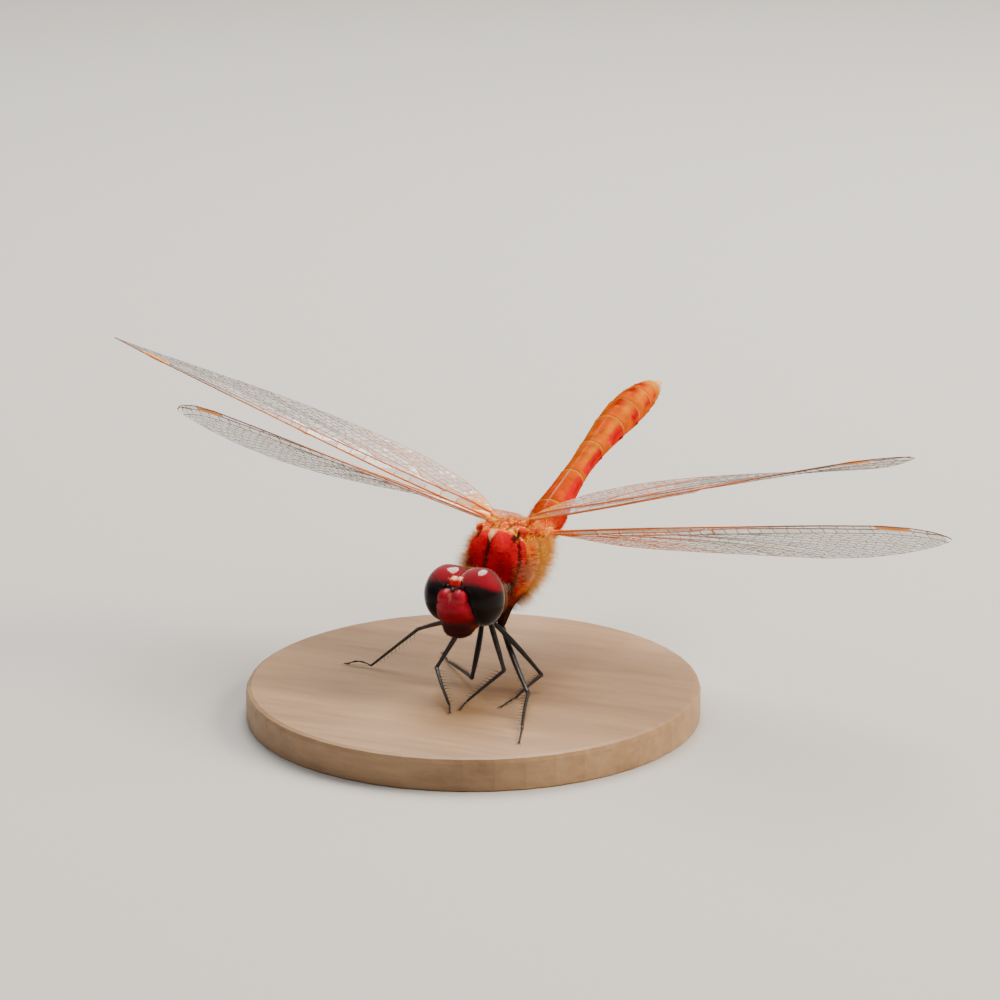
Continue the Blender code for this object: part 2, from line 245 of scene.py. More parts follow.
def frames_along(points):
    """Tangent and two normals at each point of a line, without twist."""
    points = np.asarray(points, float)
    t = unit(np.gradient(points, axis=0))
    first = np.cross(t[0], [0, 0, 1.0])
    if np.linalg.norm(first) < 0.1:
        first = np.cross(t[0], [1.0, 0, 0])
    a = [unit(first)]
    for k in range(1, len(points)):
        v = a[-1] - t[k] * (a[-1] @ t[k])
        a.append(unit(v))
    a = np.array(a)
    return t, a, np.cross(t, a)


def tube(points, radii, sides=8, flat=1.0):
    """A closed tube with rounded ends along a line."""
    points = np.asarray(points, float)
    radii = np.broadcast_to(np.asarray(radii, float), (len(points),)).copy()
    t, a, b = frames_along(points)
    angle = 2 * math.pi * np.arange(sides) / sides
    ring = np.cos(angle)[:, None, None] * a + flat * np.sin(angle)[:, None, None] * b
    body = points + ring * radii[:, None]  # sides, points, 3
    body = body.transpose(1, 0, 2).reshape(-1, 3)
    ends = np.array([points[0] - t[0] * radii[0] * 0.6, points[-1] + t[-1] * radii[-1] * 0.6])
    verts = np.concatenate([body, ends])
    n, k = len(points), np.arange(sides)
    nxt = (k + 1) % sides
    quads = []
    for i in range(n - 1):
        quads.append(np.stack([i * sides + k, i * sides + nxt, (i + 1) * sides + nxt, (i + 1) * sides + k], 1))
    caps = np.concatenate([
        np.stack([nxt, k, np.full(sides, n * sides)], 1),
        np.stack([(n - 1) * sides + k, (n - 1) * sides + nxt, np.full(sides, n * sides + 1)], 1),
    ])
    return verts, [np.concatenate(quads), caps]


def rods(a, b, ra, rb, sides=5):
    """Many short closed prisms, from points a to points b."""
    a, b = np.asarray(a, float), np.asarray(b, float)
    n = len(a)
    ra, rb = np.broadcast_to(ra, (n,)), np.broadcast_to(rb, (n,))
    d = unit(b - a)
    side = np.cross(d, [0.31, 0.17, 0.94])
    side = unit(side)
    other = np.cross(d, side)
    angle = 2 * math.pi * np.arange(sides) / sides
    ring = np.cos(angle)[None, :, None] * side[:, None] + np.sin(angle)[None, :, None] * other[:, None]
    low = a[:, None] + ring * ra[:, None, None]
    high = b[:, None] + ring * rb[:, None, None]
    verts = np.concatenate([low, high], axis=1).reshape(-1, 3)
    k = np.arange(sides)
    nxt = (k + 1) % sides
    base = (np.arange(n) * 2 * sides)[:, None, None]
    quad = np.stack([k, nxt, nxt + sides, k + sides], 1)[None] + base
    cap1 = k[::-1][None] + base[:, 0]
    cap2 = (k + sides)[None] + base[:, 0]
    return verts, [quad.reshape(-1, 4), np.concatenate([cap1, cap2])]


def spikes(roots, ways, lengths, radii, bend=0.15, sides=3):
    """Thin closed hairs or spines: root ring, middle ring, tip. Returns
    points, faces, and for each face corner its place on the hair's patch."""
    roots, ways = np.asarray(roots, float), unit(np.asarray(ways, float))
    n = len(roots)
    lengths, radii = np.broadcast_to(lengths, (n,)), np.broadcast_to(radii, (n,))
    side = unit(np.cross(ways, np.array([0.37, 0.23, -0.9])))
    other = np.cross(ways, side)
    droop = bend if np.ndim(bend) == 2 else np.tile([0, 0, -float(bend)], (n, 1))
    angle = 2 * math.pi * np.arange(sides) / sides
    ring = np.cos(angle)[None, :, None] * side[:, None] + np.sin(angle)[None, :, None] * other[:, None]
    low = roots[:, None] + ring * radii[:, None, None]
    mid = roots + ways * (lengths * 0.55)[:, None] + droop * (lengths * 0.25)[:, None]
    middle = mid[:, None] + ring * (radii * 0.72)[:, None, None]
    tip = roots + ways * lengths[:, None] + droop * lengths[:, None]
    verts = np.concatenate([low, middle, tip[:, None]], axis=1).reshape(-1, 3)
    m = 2 * sides + 1
    k = np.arange(sides)
    nxt = (k + 1) % sides
    base = (np.arange(n) * m)[:, None, None]
    quad = (np.stack([k, nxt, nxt + sides, k + sides], 1)[None] + base).reshape(-1, 4)
    tri = (np.stack([k + sides, nxt + sides, np.full(sides, 2 * sides)], 1)[None] + base).reshape(-1, 3)
    cap = (k[::-1][None] + base[:, 0])
    kk = k / sides
    kn = (k + 1) / sides
    quad_uv = np.stack([np.stack([kk, 0 * kk], 1), np.stack([kn, 0 * kk], 1), np.stack([kn, 0 * kk + 0.5], 1), np.stack([kk, 0 * kk + 0.5], 1)], 1)
    tri_uv = np.stack([np.stack([kk, 0 * kk + 0.5], 1), np.stack([kn, 0 * kk + 0.5], 1), np.stack([(kk + kn) / 2, 0 * kk + 1.0], 1)], 1)
    cap_uv = np.stack([kk[::-1] * 0.3, 0.02 * np.cos(angle[::-1]) + 0.02], 1)
    uv = [np.tile(quad_uv.reshape(1, -1, 2), (n, 1, 1)), np.tile(tri_uv.reshape(1, -1, 2), (n, 1, 1)), np.tile(cap_uv.reshape(1, -1, 2), (n, 1, 1))]
    return verts, [quad, tri, cap], uv


def ellipsoid(centre, radii, nu=24, nv=14, axes=None):
    """A closed round body; the poles are along the third axis."""
    phi = math.pi * np.arange(1, nv) / nv
    th = 2 * math.pi * np.arange(nu) / nu
    ring = np.stack([np.outer(np.sin(phi), np.cos(th)), np.outer(np.sin(phi), np.sin(th)), np.outer(np.cos(phi), np.ones(nu))], -1).reshape(-1, 3)
    unitp = np.concatenate([ring, [[0, 0, 1.0], [0, 0, -1.0]]])
    v = unitp * np.asarray(radii, float)
    if axes is not None:
        v = v @ np.asarray(axes).T
    v = v + np.asarray(centre, float)
    k = np.arange(nu)
    nx = (k + 1) % nu
    quads = [np.stack([i * nu + k, (i + 1) * nu + k, (i + 1) * nu + nx, i * nu + nx], 1) for i in range(nv - 2)]
    top, bottom = (nv - 1) * nu, (nv - 1) * nu + 1
    tris = np.concatenate([np.stack([k, nx, np.full(nu, top)], 1), np.stack([(nv - 2) * nu + nx, (nv - 2) * nu + k, np.full(nu, bottom)], 1)])
    return v, [np.concatenate(quads), tris]


# --------------------------------------------------------------- materials
def new_material(name):
    mat = bpy.data.materials.new(name)
    mat.use_nodes = True
    nt = mat.node_tree
    nt.nodes.clear()
    out = nt.nodes.new("ShaderNodeOutputMaterial")
    bsdf = nt.nodes.new("ShaderNodeBsdfPrincipled")
    nt.links.new(bsdf.outputs[0], out.inputs[0])
    return mat, nt, bsdf, out


def tinted(nt, amount, scale, detail=4.0):
    """The mesh's own colour, varied lighter and darker by fine noise."""
    tint = nt.nodes.new("ShaderNodeAttribute")
    tint.attribute_name = "Tint"
    where = nt.nodes.new("ShaderNodeTexCoord")
    noise = nt.nodes.new("ShaderNodeTexNoise")
    noise.inputs["Scale"].default_value = scale
    noise.inputs["Detail"].default_value = detail
    noise.inputs["Roughness"].default_value = 0.6
    nt.links.new(where.outputs["Object"], noise.inputs["Vector"])
    spread = nt.nodes.new("ShaderNodeMapRange")
    spread.inputs["From Min"].default_value = 0.3
    spread.inputs["From Max"].default_value = 0.7
    spread.inputs["To Min"].default_value = 1 - amount
    spread.inputs["To Max"].default_value = 1 + amount
    nt.links.new(noise.outputs["Fac"], spread.inputs["Value"])
    scaled = nt.nodes.new("ShaderNodeVectorMath")
    scaled.operation = "SCALE"
    nt.links.new(tint.outputs["Color"], scaled.inputs[0])
    nt.links.new(spread.outputs[0], scaled.inputs["Scale"])
    return where, noise, scaled.outputs[0]


def add_bump(nt, bsdf, height, strength, distance):
    bump = nt.nodes.new("ShaderNodeBump")
    bump.inputs["Strength"].default_value = strength
    bump.inputs["Distance"].default_value = distance
    nt.links.new(height, bump.inputs["Height"])
    nt.links.new(bump.outputs[0], bsdf.inputs["Normal"])


def cuticle(name, rough=(0.30, 0.48), amount=0.18, scale=900.0, pits=4200.0, gloss_level=0.5, bump=0.35, polish=None):
    mat, nt, bsdf, out = new_material(name)
    where, noise, colour = tinted(nt, amount, scale)
    nt.links.new(colour, bsdf.inputs["Base Color"])
    pit = nt.nodes.new("ShaderNodeTexVoronoi")
    pit.inputs["Scale"].default_value = pits
    nt.links.new(where.outputs["Object"], pit.inputs["Vector"])
    gloss = nt.nodes.new("ShaderNodeMapRange")
    gloss.inputs["To Min"].default_value = rough[0]
    gloss.inputs["To Max"].default_value = rough[1]
    nt.links.new(noise.outputs["Fac"], gloss.inputs["Value"])
    nt.links.new(gloss.outputs[0], bsdf.inputs["Roughness"])
    add_bump(nt, bsdf, pit.outputs["Distance"], bump, 0.00002)
    bsdf.inputs["Specular IOR Level"].default_value = gloss_level
    if polish:
        shine = nt.nodes.new("ShaderNodeAttribute")
        shine.attribute_name = "Tint"
        for socket, dull, bright in (("Specular IOR Level", gloss_level, 0.22), ("Coat Weight", 0.0, polish)):
            reach = nt.nodes.new("ShaderNodeMapRange")
            reach.inputs["To Min"].default_value = dull
            reach.inputs["To Max"].default_value = bright
            nt.links.new(shine.outputs["Alpha"], reach.inputs["Value"])
            nt.links.new(reach.outputs[0], bsdf.inputs[socket])
        bsdf.inputs["Coat Roughness"].default_value = 0.14
    return mat


def eye_material():
    mat, nt, bsdf, out = new_material("eye_facets")
    where, noise, colour = tinted(nt, 0.10, 700.0, 2.0)
    nt.links.new(colour, bsdf.inputs["Base Color"])
    facet = nt.nodes.new("ShaderNodeTexVoronoi")
    facet.inputs["Scale"].default_value = 26000.0
    facet.inputs["Randomness"].default_value = 0.25
    nt.links.new(where.outputs["Object"], facet.inputs["Vector"])
    add_bump(nt, bsdf, facet.outputs["Distance"], 0.05, 0.000004)
    bsdf.inputs["Roughness"].default_value = 0.16
    bsdf.inputs["Specular IOR Level"].default_value = 0.06
    bsdf.inputs["Sheen Weight"].default_value = 0.22
    bsdf.inputs["Sheen Roughness"].default_value = 0.35
    above = nt.nodes.new("ShaderNodeAttribute")
    above.attribute_name = "Tint"
    polish = nt.nodes.new("ShaderNodeMapRange")
    polish.inputs["To Min"].default_value = 0.015
    polish.inputs["To Max"].default_value = 0.75
    nt.links.new(above.outputs["Alpha"], polish.inputs["Value"])
    nt.links.new(polish.outputs[0], bsdf.inputs["Coat Weight"])
    bsdf.inputs["Coat Roughness"].default_value = 0.04
    return mat


def membrane_material():
    mat, nt, bsdf, out = new_material("wing_membrane")
    where, noise, colour = tinted(nt, 0.12, 500.0)
    nt.links.new(colour, bsdf.inputs["Base Color"])
    bsdf.inputs["Roughness"].default_value = 0.16
    bsdf.inputs["Specular IOR Level"].default_value = 1.0
    bsdf.inputs["Coat Weight"].default_value = 0.7
    bsdf.inputs["Coat Roughness"].default_value = 0.06
    ripple = nt.nodes.new("ShaderNodeTexNoise")
    ripple.inputs["Scale"].default_value = 1600.0
    nt.links.new(where.outputs["Object"], ripple.inputs["Vector"])
    add_bump(nt, bsdf, ripple.outputs["Fac"], 0.35, 0.00005)
    clear = nt.nodes.new("ShaderNodeBsdfTransparent")
    joined = nt.nodes.new("ShaderNodeMixShader")
    weight = nt.nodes.new("ShaderNodeLayerWeight")
    weight.inputs["Blend"].default_value = 0.35
    tint = nt.nodes.new("ShaderNodeAttribute")
    tint.attribute_name = "Tint"
    spread = nt.nodes.new("ShaderNodeMapRange")
    spread.inputs["To Min"].default_value = 0.10
    spread.inputs["To Max"].default_value = 0.75
    nt.links.new(weight.outputs["Facing"], spread.inputs["Value"])
    more = nt.nodes.new("ShaderNodeMath")
    more.operation = "MAXIMUM"
    nt.links.new(spread.outputs[0], more.inputs[0])
    nt.links.new(tint.outputs["Alpha"], more.inputs[1])
    nt.links.new(more.outputs[0], joined.inputs[0])
    nt.links.new(clear.outputs[0], joined.inputs[1])
    nt.links.new(bsdf.outputs[0], joined.inputs[2])
    nt.links.new(joined.outputs[0], out.inputs[0])
    return mat


def wood_material():
    mat, nt, bsdf, out = new_material("stand_wood")
    where = nt.nodes.new("ShaderNodeTexCoord")
    stretch = nt.nodes.new("ShaderNodeMapping")
    stretch.inputs["Scale"].default_value = (1.0, 9.0, 9.0)
    stretch.inputs["Rotation"].default_value = (0.0, 0.06, 0.35)
    nt.links.new(where.outputs["Object"], stretch.inputs["Vector"])
    warp = nt.nodes.new("ShaderNodeTexNoise")
    warp.inputs["Scale"].default_value = 40.0
    nt.links.new(stretch.outputs[0], warp.inputs["Vector"])
    grain = nt.nodes.new("ShaderNodeTexNoise")
    grain.inputs["Scale"].default_value = 190.0
    grain.inputs["Detail"].default_value = 8.0
    grain.inputs["Roughness"].default_value = 0.65
    nt.links.new(stretch.outputs[0], grain.inputs["Vector"])
    both = nt.nodes.new("ShaderNodeMath")
    both.operation = "ADD"
    nt.links.new(warp.outputs["Fac"], both.inputs[0])
    nt.links.new(grain.outputs["Fac"], both.inputs[1])
    ramp_node = nt.nodes.new("ShaderNodeValToRGB")
    ramp_node.color_ramp.elements[0].position = 0.30
    ramp_node.color_ramp.elements[0].color = (0.20, 0.105, 0.048, 1)
    ramp_node.color_ramp.elements[1].position = 0.72
    ramp_node.color_ramp.elements[1].color = (0.40, 0.245, 0.125, 1)
    half = nt.nodes.new("ShaderNodeMath")
    half.operation = "MULTIPLY"
    half.inputs[1].default_value = 0.5
    nt.links.new(both.outputs[0], half.inputs[0])
    nt.links.new(half.outputs[0], ramp_node.inputs["Fac"])
    nt.links.new(ramp_node.outputs["Color"], bsdf.inputs["Base Color"])
    gloss = nt.nodes.new("ShaderNodeMapRange")
    gloss.inputs["To Min"].default_value = 0.42
    gloss.inputs["To Max"].default_value = 0.62
    nt.links.new(grain.outputs["Fac"], gloss.inputs["Value"])
    nt.links.new(gloss.outputs[0], bsdf.inputs["Roughness"])
    add_bump(nt, bsdf, grain.outputs["Fac"], 0.25, 0.00006)
    return mat


SKIN = cuticle("body_cuticle", rough=(0.42, 0.60), amount=0.22, scale=1300.0, pits=9000.0, gloss_level=0.0, bump=0.30, polish=0.11)
LEG = cuticle("leg_cuticle", rough=(0.22, 0.42), amount=0.30, scale=1500.0, pits=6000.0, bump=0.35)
VEIN = cuticle("wing_vein", rough=(0.25, 0.42), amount=0.22, scale=1200.0, pits=9000.0, bump=0.15)
STIGMA = cuticle("wing_stigma", rough=(0.30, 0.45), amount=0.15, scale=1500.0, pits=7000.0, bump=0.2, gloss_level=0.2)
FUZZ = cuticle("fuzz", rough=(0.40, 0.60), amount=0.15, scale=2500.0, pits=12000.0, gloss_level=0.02, bump=0.05)
EYE = eye_material()
MEMBRANE = membrane_material()
WOOD = wood_material()


# ------------------------------------------------------------- body's field
class Field:
    """Distances on a grid: below nought is inside the body."""

    def __init__(self, lo, hi, step):
        self.step = step
        self.lo = np.array(lo, float)
        self.count = np.ceil((np.array(hi) - self.lo) / step).astype(int) + 1
        self.d = np.full(self.count, 4.0, np.float32)

    def window(self, lo, hi):
        a = np.clip(np.floor((np.array(lo) - self.lo) / self.step).astype(int), 0, self.count - 1)
        b = np.clip(np.ceil((np.array(hi) - self.lo) / self.step).astype(int) + 1, a + 1, self.count)
        cut = tuple(slice(i, j) for i, j in zip(a, b))
        axes = [(self.lo[k] + self.step * np.arange(a[k], b[k])) for k in range(3)]
        p = np.stack(np.meshgrid(*axes, indexing="ij"), -1)
        return cut, p

    def join(self, lo, hi, shape, soft=0.1):
        cut, p = self.window(lo, hi)
        new = shape(p).astype(np.float32)
        old = self.d[cut]
        h = np.maximum(soft - np.abs(old - new), 0) / soft
        self.d[cut] = np.minimum(old, new) - h * h * soft * 0.25

    def ball(self, centre, radii, soft=0.1, axes=None):
        """axes turn the radii; centre is in the same space as the grid."""
        centre, radii = np.array(centre, float), np.array(radii, float)
        reach = radii.max() + 0.35

        def shape(p):
            q = p - centre
            if axes is not None:
                q = q @ axes
            k0 = np.linalg.norm(q / radii, axis=-1)
            k1 = np.linalg.norm(q / radii**2, axis=-1)
            return k0 * (k0 - 1) / np.maximum(k1, 1e-6)

        self.join(centre - reach, centre + reach, shape, soft)

    def cone(self, a, b, ra, rb, soft=0.1):
        a, b = np.array(a, float), np.array(b, float)
        reach = max(ra, rb) + 0.35
        d = b - a

        def shape(p):
            t = np.clip(((p - a) @ d) / (d @ d), 0, 1)
            return np.linalg.norm(p - a - t[..., None] * d, axis=-1) - (ra + (rb - ra) * t)

        self.join(np.minimum(a, b) - reach, np.maximum(a, b) + reach, shape, soft)

    def surface(self):
        """Points and quads of the surface where the distance is nought."""
        d, inside = self.d, self.d < 0
        total = np.zeros(np.array(d.shape) - 1, np.int8)
        corners = [(i, j, k) for i in (0, 1) for j in (0, 1) for k in (0, 1)]
        for i, j, k in corners:
            total += inside[i:d.shape[0] - 1 + i, j:d.shape[1] - 1 + j, k:d.shape[2] - 1 + k]
        active = (total > 0) & (total < 8)
        index = np.full(total.shape, -1, np.int32)
        cells = np.argwhere(active)
        index[active] = np.arange(len(cells))
        sums, hits = np.zeros((len(cells), 3)), np.zeros(len(cells))
        for a in corners:
            for axis in range(3):
                if a[axis]:
                    continue
                b = list(a)
                b[axis] = 1
                ca, cb = cells + a, cells + b
                da, db = d[tuple(ca.T)], d[tuple(cb.T)]
                crossing = (da < 0) != (db < 0)
                t = np.where(crossing, da / np.where(crossing, da - db, 1), 0)
                p = ca + t[:, None] * (np.array(b) - np.array(a))
                sums[crossing] += p[crossing]
                hits[crossing] += 1
        points = self.lo + self.step * sums / np.maximum(hits, 1)[:, None]
        quads = []
        for axis in range(3):
            u, v = (axis + 1) % 3, (axis + 2) % 3
            first = [slice(None)] * 3
            second = [slice(None)] * 3
            first[axis], second[axis] = slice(0, -1), slice(1, None)
            change = inside[tuple(first)] != inside[tuple(second)]
            e = np.argwhere(change)
            e = e[(e[:, u] > 0) & (e[:, v] > 0) & (e[:, u] < total.shape[u]) & (e[:, v] < total.shape[v])]
            flip = inside[tuple(e.T)]
            du, dv = np.zeros(3, int), np.zeros(3, int)
            du[u], dv[v] = 1, 1
            ring = [index[tuple((e - o).T)] for o in (du * 0, du, du + dv, dv)]
            q = np.stack(ring, 1)
            q[~flip] = q[~flip][:, ::-1]
            quads.append(q[(q >= 0).all(1)])
        return points, np.concatenate(quads)


def abdomen_line(count=200):
    turn = math.radians(ABDOMEN_TURN)
    steps = 400
    pos = np.array(ABDOMEN_START)
    points = [pos.copy()]
    for i in range(steps):
        e = math.radians(ABDOMEN_RISE - ABDOMEN_DROOP * (i + 0.5) / steps)
        pos = pos + np.array([math.sin(turn) * math.cos(e), math.cos(turn) * math.cos(e), math.sin(e)]) * ABDOMEN_LENGTH / steps
        points.append(pos.copy())
    points = np.array(points)
    t = np.linspace(0, 1, len(points))
    s = np.linspace(0, 1, count + 1)
    line = np.stack([np.interp(s, t, points[:, k]) for k in range(3)], 1)
    e = np.radians(ABDOMEN_RISE - ABDOMEN_DROOP * s)
    along = np.stack([math.sin(turn) * np.cos(e), math.cos(turn) * np.cos(e), np.sin(e)], 1)
    across = np.tile([math.cos(turn), -math.sin(turn), 0.0], (len(s), 1))
    return line, along, across, np.cross(across, along)


AB_LINE, AB_ALONG, AB_ACROSS, AB_UP = abdomen_line()


def abdomen_place(p):
    """Each point's share of the way along, and its offsets to its left and upward from the line, with the share left
    open at the ends."""
    flat = p.reshape(-1, 3)
    turn = math.radians(ABDOMEN_TURN)
    # the line lies in one upright plane, so a search along y is enough
    k = np.clip(np.interp(flat[:, 1] + 0.28 * (flat[:, 2] + 0.5 - 0.29 * (flat[:, 1] - 5.14) + 1.8), AB_LINE[:, 1] + 0.28 * (AB_LINE[:, 2] + 0.5 - 0.29 * (AB_LINE[:, 1] - 5.14) + 1.8), np.arange(len(AB_LINE))), 0, len(AB_LINE) - 1)
    for _ in range(4):
        i = np.clip(np.round(k).astype(int), 0, len(AB_LINE) - 1)
        step = np.einsum("ij,ij->i", flat - AB_LINE[i], AB_ALONG[i])
        k = i + step / (ABDOMEN_LENGTH / (len(AB_LINE) - 1))
    i = np.clip(np.round(k).astype(int), 0, len(AB_LINE) - 1)
    q = flat - AB_LINE[i]
    x = np.einsum("ij,ij->i", q, AB_ACROSS[i])
    z = np.einsum("ij,ij->i", q, AB_UP[i])
    t = k / (len(AB_LINE) - 1)
    shape = p.shape[:-1]
    return t.reshape(shape), x.reshape(shape), z.reshape(shape)


def abdomen_radius(t, angle):
    """Half-width of the abdomen's skin with its segments and keels."""
    tt = np.clip(t, 0, 1)
    r = smooth_reading(ABDOMEN_PROFILE, tt, 0.02) - 0.02
    edges = np.array((0.0,) + JOINTS + (1.0,))
    seg = np.clip(np.searchsorted(edges, tt) - 1, 0, 9)
    s = (tt - edges[seg]) / (edges[seg + 1] - edges[seg])
    r = r * (0.985 + 0.035 * s**3)
    for j in JOINTS:
        d = (tt - j) * ABDOMEN_LENGTH
        r = r - 0.055 * bell(d, 0.05, 0.085) + 0.022 * bell(d, -0.14, 0.09)
    d = (tt - 0.072) * ABDOMEN_LENGTH
    r = r + 0.025 * bell(d, 0, 0.08)
    keel = bell(angle, 90.0, 3.6)
    r = r + 0.035 * keel * ramp(tt, 0.08, 0.14) * (1 - ramp(tt, 0.88, 0.93))
    low = bell(angle, -32.0, 7.0) + bell(angle, 212.0, 7.0) + bell(angle, -148.0, 7.0)
    r = r + 0.045 * low * ramp(tt, 0.1, 0.2)
    under = bell(((angle + 90 + 180) % 360) - 180, 0, 16.0)
    r = r - 0.10 * under * ramp(tt, 0.05, 0.15)
    return r


def thorax_depth(p):
    """Distance outside the thorax's skin."""
    x, y, z = p[..., 0], p[..., 1], p[..., 2]
    s = np.array(THORAX_SLICES)[::-1]
    def at(col):
        total = 0.0
        for k, w in ((-0.22, 1), (-0.11, 2), (0.0, 3), (0.11, 2), (0.22, 1)):
            total = total + w * np.interp(z + k, s[:, 0], s[:, col])
        return total / 9
    front, back, half = at(1), at(2), at(3)
    yc = (front + back) / 2
    a = np.maximum(half, 0.2)
    b = np.maximum((back - front) / 2, 0.2)
    q = np.hypot(x, y - yc)
    c, sn = np.abs(x) / np.maximum(q, 1e-6), np.abs(y - yc) / np.maximum(q, 1e-6)
    edge = ((c / a) ** 2.2 + (sn / b) ** 2.2) ** (-1 / 2.2)
    side = (q - edge) * 0.86
    cap = np.maximum(z - 0.12, -5.9 - z)
    h = np.maximum(0.5 - np.abs(side - cap), 0) / 0.5
    return np.maximum(side, cap) + h * h * 0.125 + COAT


def thorax_angle(p):
    """Angle round the thorax from its front, the same on both sides."""
    s = np.array(THORAX_SLICES)[::-1]
    yc = (np.interp(p[..., 2], s[:, 0], s[:, 1]) + np.interp(p[..., 2], s[:, 0], s[:, 2])) / 2
    a = np.degrees(np.arctan2(p[..., 0], -(p[..., 1] - yc)))
    return np.abs(a + 5.0 * np.exp(-(a / 70.0) ** 2))


WING_LINE = ((1.80, -1.78, -0.75), (2.19, -1.36, -1.06), (2.52, -0.29, -1.27), (2.62, 0.8, -1.62), (2.35, 2.0, -1.95))


def thorax_relief(p):
    """Height of plates over sutures; grooves are below nought."""
    z = p[:, 2]
    a = thorax_angle(p)
    m = p * [1, 1, 1]
    m[:, 0] = np.abs(m[:, 0])
    band = ramp(z, -5.1, -4.4) * (1 - ramp(z, -0.5, -0.2))
    h = np.zeros(len(p))
    h -= 0.13 * bell(a, 0, 3.0) * band * (1 - ramp(z, -0.95, -0.6))
    h -= 0.12 * bell(a, 44.0, 2.2) * band
    h -= 0.06 * bell(a, 57.0, 2.2) * band * (1 - ramp(z, -2.6, -1.6))
    h -= 0.09 * bell(a, 93.0, 2.2) * band
    h += 0.08 * np.sin(np.clip((a - 3) / 40, 0, 1) * math.pi) * band
    h += 0.05 * np.sin(np.clip((a - 45) / 11, 0, 1) * math.pi) * band
    h += 0.05 * np.sin(np.clip((a - 58) / 34, 0, 1) * math.pi) * band
    h -= 0.12 * bell(line_distance(m, WING_LINE), 0, 0.11)
    h += 0.02 * lumps(p, 0.8, 3)
    return h


